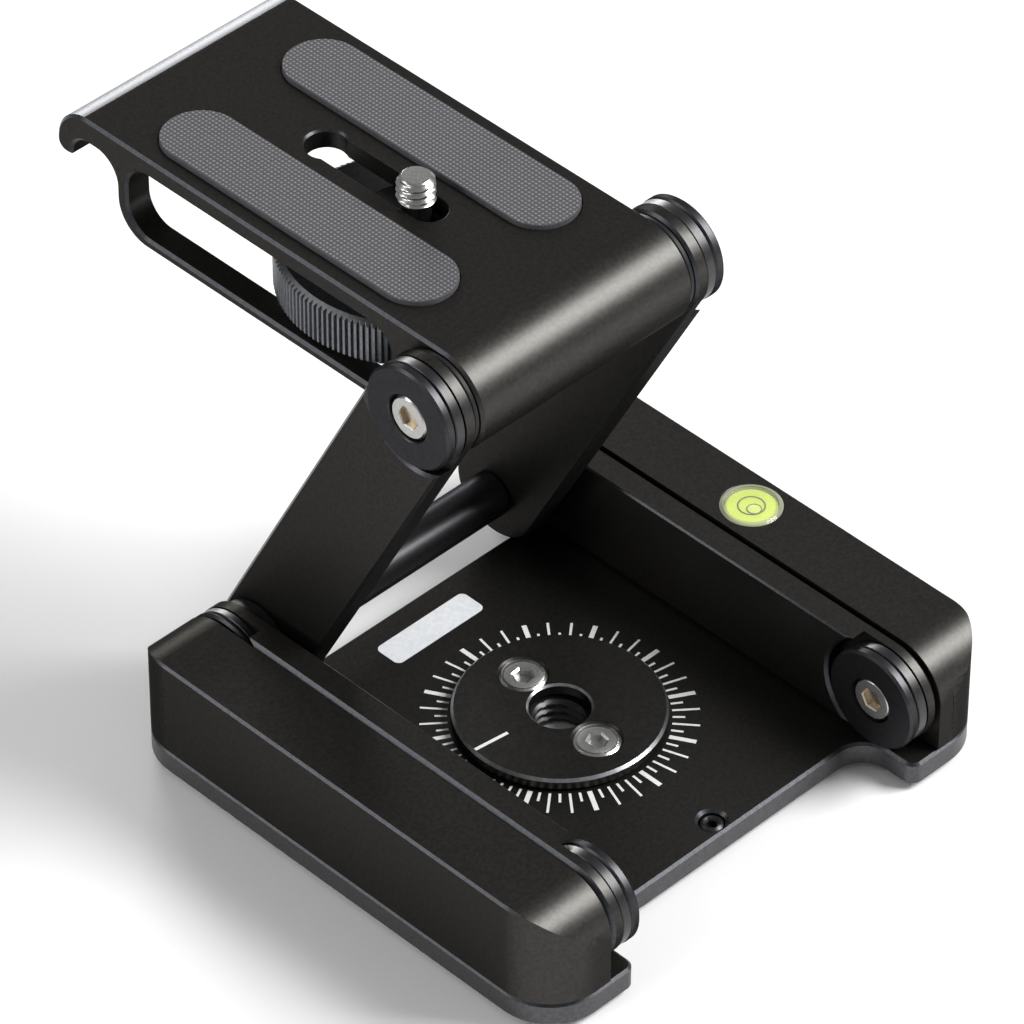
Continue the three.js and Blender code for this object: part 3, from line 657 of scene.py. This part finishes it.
# %% Hinge stacks
play, liner_play = 0.12 * MM, 0.15 * MM
cap_bore = 4.05 * MM
thin_edge = 0.1 * MM
hinges = (("lower_hinge", "base", -1), ("middle_hinge", "upper_frame", 1), ("upper_hinge", "top_plate", 1))
for name, body, out in hinges:
    disc(f"{name}_friction_plate", 0.15 * MM, body, "dark_steel", dark_steel, PIN_BORE,
         grow=(play, play), wider=0.2 * MM)
    inward = (play, 0) if out > 0 else (0, play)
    disc(f"{name}_cap", 0.4 * MM, body, "black_disc", black_disc, cap_bore, grow=inward)
    hinge_screw(f"{name}_screw", out, body)
disc("middle_hinge_washer", thin_edge, "upper_frame", "slip_polymer", slip_polymer, PIN_BORE, 64)
disc("upper_hinge_liner", thin_edge, "top_plate", "slip_polymer", slip_polymer, PIN_BORE, 96,
     grow=(liner_play, liner_play), wider=0.4 * MM)
bushes = ("lower_hinge", "lower_arms"), ("middle_hinge", "lower_arms"), ("upper_hinge", "upper_frame")
for name, body in bushes:
    disc(f"{name}_bush", thin_edge, body, "bronze", bronze, PIN_BORE, 48)
print("hinge stacks on both sides:", len(hinges))

# %% [markdown]
# ## Camera plate
# The camera plate is one long extrusion, cut to width: a deck, a barrel at the front that the upper arms
# grip, and a loop behind with a hook that drops over the cross tube when the head is folded.

# %% Camera plate, with its sizes in millimetres from the upper hinge
barrel_radius = 9
foot_end, deck_under = 72.6, 4.4
hook_inside, hook_outside, hook_tip = 83, 86.3, -0.1
loop_from, loop_to, loop_low, loop_high, loop_corner = 10.6, 70.2, -7.1, 5.6, 5
section = rounded([
    (0, -barrel_radius, 0), (foot_end, -barrel_radius, 6.7), (foot_end, deck_under, 4.4),
    (hook_inside, deck_under, 3.9), (hook_inside, hook_tip, 0.6), (hook_outside, hook_tip, 2.1),
    (hook_outside, barrel_radius, 7), (0, barrel_radius, 0)], 16)
barrel = [around(math.pi / 2 + math.pi * k / 64) * barrel_radius * MM for k in range(1, 64)]
loop = oblong(loop_from, loop_to, loop_low, loop_high, loop_corner, 16)

low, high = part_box("camera_plate")
deck = high.z
side_edge = 0.48 * MM
camera_plate = plate("camera_plate_look", moved(section + barrel, TOP.yz), "x", low.x, high.x)
cut(camera_plate, plate("side loop", moved(loop, TOP.yz), "x", low.x - BEYOND, high.x + BEYOND))
bevel(camera_plate, at("x", low.x, high.x), side_edge)
print("camera plate", [round(d / MM, 1) for d in camera_plate.dimensions], "mm")

# %% Room for the wheel
rail = 4.75
window_half = high.x / MM - rail
window_from, window_to, window_corner = 12, 77, 3
window_top = TOP.z + 3.5 * MM
window = rounded([
    (-window_half, window_from, window_corner), (window_half, window_from, window_corner),
    (window_half, window_to, 0), (-window_half, window_to, 0)], 12)
cut(camera_plate, plate("window", moved(window, (0, TOP.y)), "z", low.z - BEYOND, window_top))
wheel_low, wheel_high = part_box("knurled_wheel")
wheel_room, wheel_play = 23 * MM, 0.3 * MM
room_low, room_high = wheel_low.z - wheel_play, wheel_high.z + wheel_play
cut(camera_plate, rod("wheel room", wheel_room, room_low, room_high, "z", SCREW, 160))
print("wheel room", round(2 * wheel_room / MM), "mm across")

# %% Slot, pad seats and pin bores
slot_from = (0, SCREW.y - 2.8 * MM)
slot_to = (0, SCREW.y + 20 * MM)
slot_radius, rim_foot, rim_mouth = 3.1 * MM, 2.75 * MM, 3.45 * MM
keyhole, keyhole_rim = 3.5 * MM, 4.2 * MM
under_deck = deck - 5 * MM
sink = 0.35 * MM
cut(camera_plate, plate("slot", stadium(slot_from, slot_to, slot_radius), "z", under_deck, deck + BEYOND))
cut(camera_plate, plate("slot rim", stadium(slot_from, slot_to, rim_foot), "z", deck - sink, deck + sink,
                        far=stadium(slot_from, slot_to, rim_mouth + sink)))
cut(camera_plate, spun("keyhole", [
    (0, under_deck), (keyhole, under_deck), (keyhole, deck - sink), (keyhole_rim, deck + sink),
    (0, deck + sink)], "z", Vector((0, slot_to[1], 0)), 96))
pad_low, pad_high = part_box("pad_right")
pad_x = (pad_low.x + pad_high.x) / 2
pad_radius = (pad_high.x - pad_low.x) / 2
pad_ends = (pad_x, pad_low.y + pad_radius), (pad_x, pad_high.y - pad_radius)
seat_play, seat_depth = 0.25 * MM, 0.5 * MM
for side in (1, -1):
    ends = [(side * x, y) for x, y in pad_ends]
    seat = stadium(*ends, pad_radius + seat_play)
    cut(camera_plate, plate("pad seat", seat, "z", deck - seat_depth, deck + BEYOND))
    bore_from, bore_to = sorted((side * (high.x - PIN_DEPTH), side * (high.x + BEYOND)))
    cut(camera_plate, rod("pin bore", PIN_BORE, bore_from, bore_to, "x", TOP, 48))
print("slot", round((slot_to[1] - slot_from[1]) / MM, 1), "mm between its ends")

# %% Finish of the camera plate
loop_middle = TOP.yz + Vector(((loop_from + loop_to) / 2, (loop_low + loop_high) / 2)) * MM
slot_middle_y = (slot_from[1] + slot_to[1]) / 2
slot_half_width, slot_half_length = 5 * MM, 16 * MM
shoulder_drop, shoulder_reach = 8 * MM, 12 * MM
side_zone, rim_zone = side_edge + 0.02 * MM, sink + 0.01 * MM


def rear_shoulder(c, n):
    """The rounding between the deck and the hook, where it leans back and gets a painted sheen."""
    leans_back = n.y > 0.05 and n.z > 0.2
    return leans_back and c.z > deck - shoulder_drop and c.y > high.y - shoulder_reach


def soft_highlit_chamfer(c, n):
    """The chamfers that get a soft painted highlight: the deck's sides, the side loops' rims and the slot's
    rim.
    """
    on_side = slanted(n, "x") and abs(c.x) > high.x - side_zone
    deck_or_loop = c.z > deck - side_zone or (loop_middle - c.yz).dot(n.yz) > 0
    slot_chamfer = slanted(n, "z") and n.z > 0 and c.z > deck - rim_zone
    near_slot = abs(c.x) < slot_half_width and abs(c.y - slot_middle_y) < slot_half_length
    return (on_side and deck_or_loop) or (slot_chamfer and near_slot)


finish(camera_plate, "top_plate", "black_alloy", black_alloy, "camera_plate")
# painted sheen on the rounding behind the deck
brighten(camera_plate, painted_shoulder_sheen, rear_shoulder)
# soft painted highlight on the camera plate's chamfers
brighten(camera_plate, soft_painted_highlight, soft_highlit_chamfer)
print("camera plate", len(camera_plate.data.polygons), "faces")

# %% [markdown]
# ## Pads
# Two rubber strips with round ends lie in shallow seats, a little proud of the deck, so that a camera
# rests on rubber and not on metal.

# %% Pads
pad = plate("pad_right_look", stadium(*pad_ends, pad_radius, 48), "z", pad_low.z, pad_high.z)
pad_edge = 0.25 * MM
bevel(pad, at("z", pad_high.z), pad_edge, 3)
for strip in finish_pair(pad, "pad", "top_plate", "pad_rubber", pad_rubber):
    brighten(strip, pad_side, lambda c, n: n.z < 0.9)
print("pads", round((pad_high.y - pad_low.y) / MM, 1), "mm long")

# %% [markdown]
# ## Camera screw
# A camera screw has a 1/4 inch thread, 20 turns to the inch. The thread is a grid rolled into a tube, whose
# radius follows the helix: the grid's rows are the height, its columns the turn.

# %% A helper for threads
def threaded(name, radius, depth, pitch, low_z, high_z, spot, turns=72, tip=0.0):
    """A rod with a thread. It tapers over the length of its tip, if it has one."""
    rows_a_turn = 12
    rows = int((high_z - low_z) / pitch * rows_a_turn)
    flank, root = 2.6, 0.3
    bpy.ops.mesh.primitive_grid_add(x_subdivisions=turns, y_subdivisions=rows, size=1)
    piece = newest(name)
    for vertex in piece.data.vertices:
        turn = (vertex.co.x + 0.5) * 2 * math.pi
        level = low_z + (vertex.co.y + 0.5) * (high_z - low_z)
        phase = (level / pitch - turn / (2 * math.pi)) % 1
        groove = max(0.0, abs(phase - 0.5) * flank - root)
        r = radius - depth * (1 - min(1.0, groove))
        if tip and level > high_z - tip:
            r = min(r, radius - 1.1 * (level - (high_z - tip)))
        vertex.co = (spot.x + r * math.cos(turn), spot.y + r * math.sin(turn), level)
    edit_all(piece)
    bpy.ops.mesh.remove_doubles(threshold=SAME_POINT)
    bpy.ops.mesh.select_all(action="DESELECT")
    bpy.ops.mesh.select_mode(type="EDGE")
    bpy.ops.mesh.select_non_manifold()
    bpy.ops.mesh.edge_face_add()
    leave_edit()
    bpy.ops.object.mode_set(mode="EDIT")
    bpy.ops.mesh.select_all(action="DESELECT")
    bpy.ops.mesh.select_non_manifold()
    bpy.ops.mesh.fill_holes(sides=0)
    leave_edit()
    return face_outward(piece)


# %% Camera screw
low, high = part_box("camera_screw")
quarter_inch, quarter_depth, quarter_pitch = 3.175 * MM, 0.62 * MM, 1.27 * MM
thread_foot, point = deck + 0.6 * MM, 0.9 * MM
thread = threaded("camera_screw_look", quarter_inch, quarter_depth, quarter_pitch, thread_foot, high.z,
                  SCREW, tip=point)
neck, shoulder, root = 2.4 * MM, 2.9 * MM, 2.5 * MM
neck_end, shoulder_level, root_end = deck + 0.2 * MM, deck + 0.7 * MM, deck + MM
cut(thread, spun("neck", [
    (0, low.z), (neck, low.z), (neck, neck_end), (shoulder, shoulder_level), (root, root_end),
    (0, root_end)], "z", SCREW, 72), how="UNION")
finish(thread, "camera_clamp", "bright_steel", bright_steel, "camera_screw", angle=75)
print("camera screw", len(thread.data.polygons), "faces")

# %% Flange, slide washer and clip
def turned_ring(node, body, slot, surface, radius, edge, steps=96):
    """A flat ring round the camera screw, with both outer edges broken."""
    low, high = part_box(node)
    section = [(SCREW_BORE, low.z), *broken(radius, low.z, high.z, edge), (SCREW_BORE, high.z)]
    ring = spun(f"{node}_look", section, "z", SCREW, steps)
    finish(ring, body, slot, surface, node)


turned_ring("screw_flange", "camera_clamp", "bright_steel", bright_steel, 11.2 * MM, 0.2 * MM)
turned_ring("slide_washer", "carriage", "slip_polymer", slip_polymer, 9.5 * MM, 0.2 * MM)
turned_ring("wheel_clip", "camera_clamp", "bright_steel", bright_steel, 5 * MM, 0.1 * MM, 64)
print("rings round the camera screw 3")

# %% [markdown]
# ## Knurled wheel
# The wheel that turns the camera screw has straight teeth for a grip. A toothed outline is extruded, and
# its crossing with a turned blank, a little wider than the teeth, breaks them at both rims, as a lathe
# tool does after knurling.

# %% Knurled wheel
low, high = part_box("knurled_wheel")
teeth = 140
tip_radius = (high.x - low.x) / 2
root_radius = tip_radius - 0.6 * MM
tooth = ((0.0, tip_radius), (0.38, tip_radius), (0.58, root_radius), (0.80, root_radius))
points = []
for k in range(teeth):
    for share, radius in tooth:
        angle = (k + share) * 2 * math.pi / teeth
        points.append(Vector((SCREW.x + radius * math.cos(angle), SCREW.y + radius * math.sin(angle))))
wheel = plate("knurled_wheel_look", points, "z", low.z, high.z)
blank_radius = tip_radius + 0.31 * MM
blank_face = tip_radius - 2.67 * MM
blank_rim, rim_zone = 0.9 * MM, 1.2 * MM
cut(wheel, spun("turned blank", [
    (0, low.z - BEYOND), (blank_face, low.z - BEYOND), (blank_radius, low.z + blank_rim),
    (blank_radius, high.z - blank_rim), (blank_face, high.z + BEYOND), (0, high.z + BEYOND)],
    "z", SCREW, 180), how="INTERSECT")
clip_room, clip_room_top = 7 * MM, low.z + 2 * MM
cut(wheel, spun("wheel bore", [
    (0, low.z - BEYOND), (clip_room, low.z - BEYOND), (clip_room, clip_room_top), (SCREW_BORE, clip_room_top),
    (SCREW_BORE, high.z + BEYOND), (0, high.z + BEYOND)], "z", SCREW, 64))
# the wheel's lighter grey is a painted highlight
finish(wheel, "camera_clamp", "black_disc", wheel_alloy_painted_light, "knurled_wheel", angle=20)
# painted highlight on the wheel's rim bevels
brighten(wheel, turned_chamfer_highlight, lambda c, n: slanted(n, "z") and (c - SCREW).xy.length > tip_radius - rim_zone)
print("knurled wheel", teeth, "teeth,", len(wheel.data.polygons), "faces")

# %% [markdown]
# ## Pan bearing
# The pan disc is turned with a broken edge, painted pale as a highlight, and has a seat for each screw head.
# Below it, the hub's bush has the 3/8 inch thread, 16 turns to the inch, that a tripod screw goes into.

# %% Platter and bush
hub_bore, hub_radius, hub_top = 6.9 * MM, 13.7 * MM, 5.4 * MM
flange_radius, flange_face, flange_edge, flange_top = 35.6 * MM, 35.2 * MM, 0.35 * MM, 0.7 * MM
step_radius, step_top = 30.7 * MM, 1.7 * MM
platter = spun("pan_platter_look", [
    (hub_bore, 0), (flange_face, 0), (flange_radius, flange_edge), (flange_radius, flange_top),
    (step_radius, flange_top), (step_radius, step_top), (hub_radius, step_top), (hub_radius, hub_top),
    (hub_bore, hub_top)], "z", PAN, 160)
finish(platter, "pan", "black_alloy", black_alloy, "pan_platter")

low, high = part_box("tripod_bush")
bush_radius, pilot = 6.6 * MM, 2 * MM
tap_radius, tap_depth, tap_pitch = 4.8 * MM, 0.75 * MM, 1.5875 * MM
bush = spun("tripod_bush_look", [
    (pilot, low.z), (bush_radius, low.z), (bush_radius, high.z), (pilot, high.z)], "z", PAN, 96)
cut(bush, threaded("tap", tap_radius, tap_depth, tap_pitch, low.z - BEYOND, high.z + BEYOND, PAN, 96))
finish(bush, "pan", "dark_steel", dark_steel, "tripod_bush", angle=40)
print("tripod bush", len(bush.data.polygons), "faces")

# %% Pan disc
low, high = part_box("pan_disc")
disc_radius, disc_face, disc_edge = 17.4 * MM, 16.95 * MM, 0.45 * MM
foot_face, foot_edge = 17.2 * MM, 0.2 * MM
disc_bore, bore_flare, bore_edge = 5.05 * MM, 5.4 * MM, 0.35 * MM
bore_zone, rim_zone, edge_zone = 5.8 * MM, 16.5 * MM, disc_edge + 0.01 * MM
pan_disc = spun("pan_disc_look", [
    (disc_bore, low.z), (foot_face, low.z), (disc_radius, low.z + foot_edge),
    (disc_radius, high.z - disc_edge), (disc_face, high.z), (bore_flare, high.z),
    (disc_bore, high.z - bore_edge)], "z", PAN, 192)
seat_bore, seat_mouth, cone_foot, lip = 2 * MM, 4.25 * MM, high.z - 2.4 * MM, 0.1 * MM
for end in ("front", "rear"):
    head_low, head_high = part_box(f"pan_screw_{end}")
    cut(pan_disc, spun("head seat", [
        (0, low.z - BEYOND), (seat_bore, low.z - BEYOND), (seat_bore, cone_foot), (seat_mouth, high.z - lip),
        (seat_mouth, high.z + BEYOND), (0, high.z + BEYOND)], "z", (head_low + head_high) / 2, 64))


def highlit_rim(c, n):
    """The broken edges at the disc's rim and at its bore, painted as a highlight, but not the screws' seats
    between them.
    """
    between = bore_zone < (c - PAN).xy.length < rim_zone
    return slanted(n, "z") and c.z > high.z - edge_zone and not between


finish(pan_disc, "pan", "black_disc", black_alloy, "pan_disc")
# painted highlight on the pan disc's rim and bore edges
brighten(pan_disc, turned_chamfer_highlight, highlit_rim)
print("pan disc", len(pan_disc.data.polygons), "faces")

# %% [markdown]
# ## Pan screws
# Two flat-head screws hold the disc to the platter. They sit in countersinks. Their heads are a little
# dished inside a bright rim and have hexagon sockets.

# %% Pan screws and brake screw
def flat_head(node, radius, turn, body, slot, surface, shank, socket=1.6):
    low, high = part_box(node)
    spot = (low + high) / 2
    cone_foot, cone_top = high.z - (radius - shank), high.z - 0.4 * MM
    rim_foot, dish = high.z - 0.3 * MM, high.z - 0.2 * MM
    cone_radius, crown, rim_inside = radius - 0.05 * MM, radius - 0.45 * MM, radius - 0.9 * MM
    head = spun(f"{node}_look", [
        (0, low.z), (shank, low.z), (shank, cone_foot), (cone_radius, cone_top), (radius, rim_foot),
        (crown, high.z), (rim_inside, dish), (0, dish)], "z", spot, 72)
    socket_floor, mouth_floor, lip = high.z - 1.5 * MM, high.z - 0.5 * MM, 0.1 * MM
    sides = hexagon(spot.xy, socket, turn)
    mouth = grown(sides, spot.xy, 1.5)
    cut(head, plate("socket", sides, "z", socket_floor, high.z + BEYOND))
    cut(head, plate("socket mouth", sides, "z", mouth_floor, high.z + lip, far=mouth))
    finish(head, body, slot, surface, node)
    if surface is satin_steel:
        brighten(head, bright_steel, lambda c, n: slanted(n, "z") and c.z > mouth_floor - 0.01 * MM)


flat_head("pan_screw_front", 4 * MM, 0.4, "pan", "bright_steel", satin_steel, 1.7 * MM)
flat_head("pan_screw_rear", 4 * MM, 0.1, "pan", "bright_steel", satin_steel, 1.7 * MM)
flat_head("pan_brake_screw", 1.9 * MM, 0.2, "base", "dark_steel", dark_steel, 1.6 * MM, 0.95)
print("flat-head screws 3")

# %% [markdown]
# ## Pan scale, pointer and label
# The scale is laser-marked: the beam leaves a pale mark a few hundredths of a millimetre high. There is a
# mark each 5 degrees, a longer one each 10 and a thicker one each 30.

# %% A helper for marks
mark_paint = grained("laser mark", "e2e4e4", "eceeec", 0.6, 0.05, specular=0.2, scale=2500, bump=0.02)
label_paint = grained("label stock", "dfe2e6", "ebedf0", 0.45, 0.04, specular=0.3, scale=1200, bump=0.02)


def mark(name, inner_r, outer_r, width, degrees, level):
    """A flat bar on a ray from the pan axis."""
    height = 0.03 * MM
    bpy.ops.mesh.primitive_cube_add(size=1, location=((inner_r + outer_r) / 2, 0, level + height / 2),
                                    scale=(outer_r - inner_r, width, height))
    piece = settle(newest(name))
    piece.data.transform(Matrix.Translation(PAN) @ Matrix.Rotation(math.radians(degrees), 4, "Z"))
    return piece


def join(pieces, name):
    activate(pieces[0])
    for piece in pieces:
        piece.select_set(True)
    bpy.ops.object.join()
    return newest(name)


# %% Scale and pointer
plate_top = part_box("base_plate")[1].z
mark_from, short_to, long_to = 17.95 * MM, 19.95 * MM, 22.4 * MM
thin, thick = 0.42 * MM, 0.82 * MM
marks = [
    mark(f"mark_{step}", mark_from, short_to if step % 2 else long_to, thin if step % 6 else thick,
         5 * step, plate_top)
    for step in range(72)
]
finish(join(marks, "pan_scale"), "base", "bright_steel", mark_paint)
pointer_from, pointer_to, pointer_width, pointer_turn = 10.4 * MM, 16.9 * MM, 0.6 * MM, 172.5
disc_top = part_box("pan_disc")[1].z
pointer = mark("pan_pointer", pointer_from, pointer_to, pointer_width, pointer_turn, disc_top)
finish(pointer, "pan", "bright_steel", mark_paint)
print("scale marks", len(marks))

# %% Blank label
half_long, half_wide = 9.8, 2.7
paper = 0.08 * MM
label_outline = moved(oblong(-half_long, half_long, -half_wide, half_wide, 1.1, 8), (0, PAN.y + 29.5 * MM))
label = plate("blank_label", label_outline, "z", plate_top, plate_top + paper)
finish(label, "base", "bright_steel", label_paint)
print("label", 2 * half_long, "by", 2 * half_wide, "mm")

# %% [markdown]
# ## Bubble level
# A round level is a clear cup with a bevelled rim, filled with bright fluid. A dark ring is printed on the
# fluid's lid, and a small bubble of air rests beside the ring's middle, with a line of painted shade round
# its edge.

# %% Bubble level materials
def clear(name, tint, alpha):
    material = grained(name, tint, tint, 0.05, 0.01, scale=600, bump=0.0)
    shader = material.node_tree.nodes["Principled BSDF"]
    shader.inputs["IOR"].default_value = 1.45
    shader.inputs["Alpha"].default_value = alpha
    return material


acrylic = clear("clear acrylic", "dcdec2", 0.4)
lens_acrylic = clear("clear lens", "f2f6e0", 0.1)
fluid = grained("level fluid", "ccde48", "d8ea58", 0.1, 0.02, scale=150, bump=0.0)
ink_and_bubble_shade = grained("level ring ink and bubble shade", "2c3610", "364214", 0.4, 0.03, specular=0.2)
bubble_air = grained("bubble", "d4e46a", "deec7c", 0.08, 0.01, specular=0.8, scale=300, bump=0.0)
print("level materials 5")

# %% Cup, fluid and lens
cup_radius, wall, rim_slope, rim_drop = 5.2 * MM, 0.8 * MM, 0.5 * MM, 0.35 * MM
cup = spun("vial_cup_look", [
    (0, cup_low.z), (cup_radius, cup_low.z), (cup_radius, cup_high.z - rim_drop),
    (cup_radius - rim_slope, cup_high.z), (cup_radius - wall, cup_high.z),
    (cup_radius - wall, cup_low.z + wall), (0, cup_low.z + wall)], "z", level_spot, 96)
finish(cup, "base", "clear_acrylic", acrylic, "vial_cup")

low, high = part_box("vial_fluid")
lens_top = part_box("vial_lens")[1].z
fluid_radius, meniscus = 4.35 * MM, 0.3 * MM
ring_level = lens_top - 0.45 * MM
pool = spun("vial_fluid_look", [
    (0, low.z), (fluid_radius, low.z), (fluid_radius, ring_level - meniscus),
    (fluid_radius - meniscus, ring_level), (0, ring_level)], "z", level_spot, 96)
finish(pool, "base", "level_fluid", fluid, "vial_fluid")

lens_foot, lens_edge, lens_slope = ring_level + 0.2 * MM, lens_top - 0.15 * MM, 0.3 * MM
lens = spun("vial_lens_look", [
    (0, lens_foot), (fluid_radius, lens_foot), (fluid_radius, lens_edge),
    (fluid_radius - lens_slope, lens_top), (0, lens_top)], "z", level_spot, 96)
finish(lens, "base", "clear_acrylic", lens_acrylic, "vial_lens")
print("level", round(2 * cup_radius / MM, 1), "mm across")

# %% Ring and bubble
def ink_and_shade_ring(name, inner_r, outer_r, lift, spot):
    """A dark line round a spot, a little over the fluid. The level's ring is printed ink; the line round the
    bubble is painted shade.
    """
    foot, top = ring_level + lift, ring_level + lift + 0.06 * MM
    line = spun(name, [(inner_r, foot), (outer_r, foot), (outer_r, top), (inner_r, top)], "z", spot, 64)
    finish(line, "base", "level_fluid", ink_and_bubble_shade)


ink_and_shade_ring("level_ring", 2.12 * MM, 2.32 * MM, 0.02 * MM, level_spot)
off_centre = Vector((-0.3 * MM, -0.9 * MM, 0))
bubble_radius, flatness = 1.2 * MM, 0.12
bpy.ops.mesh.primitive_uv_sphere_add(segments=32, ring_count=16, radius=bubble_radius, scale=(1, 1, flatness),
                                     location=level_spot + off_centre + Vector((0, 0, ring_level)))
bubble = settle(newest("level_bubble"))
finish(bubble, "base", "level_fluid", bubble_air, angle=60)
# painted shade: the dark line round the bubble's edge
ink_and_shade_ring("level_bubble_painted_shade", 1.12 * MM, 1.24 * MM, 0.05 * MM, level_spot + off_centre)
print("bubble", round(2 * bubble_radius / MM, 1), "mm across")

# %% [markdown]
# ## Hidden hardware
# The screws that hold the side blocks from below and the slip ring inside the pan bearing keep their CAD
# shapes, and take their finishes here.

# %% Carried-over pieces
carried = {
    f"block_screw_{end}_{side}": dark_steel for end in ("front", "rear") for side in ("left", "right")
}
carried["pan_slip_ring"] = slip_polymer
for name, surface in carried.items():
    frame["nodes"][name].data.materials.clear()
    frame["nodes"][name].data.materials.append(surface)
print("carried over", len(carried), "nodes")

# %% [markdown]
# ## Floor, light and camera
# The head stands on a plain white floor. Four soft boxes stand round it. The one at the right front draws
# the long highlight on the barrel, the left one lights the vertical corners, and the two at the rear
# brighten what faces away from the camera. A plain grey world fills the rest.

# %% Floor and world
bpy.ops.mesh.primitive_plane_add(size=8, location=(0, 0, 0))
floor = newest("floor")
floor_paint = grained("white floor", "f7f7f7", "f9f9f9", 0.9, 0.02, specular=0.0, scale=4, bump=0.0)
floor.data.materials.append(floor_paint)

world = bpy.data.worlds.new("studio")
bpy.context.scene.world = world
world.use_nodes = True
sky = world.node_tree.nodes["Background"]
sky.inputs["Color"].default_value = (1, 1, 1, 1)
sky.inputs["Strength"].default_value = 0.28
print("world ready")

# %% Lamps
def soft_box(name, direction, width, height, radiance):
    """A lamp that faces the head. Its power follows from its size and how bright it looks."""
    distance = 0.9
    middle = Vector((0, 0, 0.04))
    place = middle + Vector(direction).normalized() * distance
    light = bpy.data.lights.new(name, "AREA")
    light.shape = "RECTANGLE"
    light.size, light.size_y, light.energy = width, height, radiance * math.pi * width * height
    holder = bpy.data.objects.new(name, light)
    bpy.context.scene.collection.objects.link(holder)
    holder.location = place
    holder.rotation_euler = (middle - place).to_track_quat("-Z", "Y").to_euler()


soft_box("right front box", (0.533, -0.529, 0.66), 0.42, 0.42, 18)
soft_box("left box", (-0.93, 0.08, 0.2), 0.3, 0.3, 9)
soft_box("left rear box", (-0.655, 0.5355, 0.533), 0.3, 0.3, 5)
soft_box("right rear box", (0.533, 0.818, 0.23), 0.35, 0.3, 13)
print("lamps", len(bpy.data.lights))

# %% Camera, fitted to the photograph
eye = Vector((-0.58436, -0.59726, 0.76017))
target = Vector((0.02957, 0.01970, 0.0054))
roll = math.radians(0.16)
back = (eye - target).normalized()
right = Vector((0, 0, 1)).cross(back).normalized()
up = back.cross(right)
right, up = right * math.cos(roll) + up * math.sin(roll), up * math.cos(roll) - right * math.sin(roll)
camera_data = bpy.data.cameras.new("camera")
camera = bpy.data.objects.new("camera", camera_data)
bpy.context.scene.collection.objects.link(camera)
camera.matrix_world = Matrix.Translation(eye) @ Matrix((right, up, back)).transposed().to_4x4()
camera_data.sensor_width = 36
camera_data.lens = 246.2
camera_data.clip_start, camera_data.clip_end = 0.05, 20
camera_data.dof.use_dof = False
bpy.context.scene.camera = camera
bpy.context.scene.view_settings.view_transform = "Standard"
print("camera", camera_data.lens, "mm")
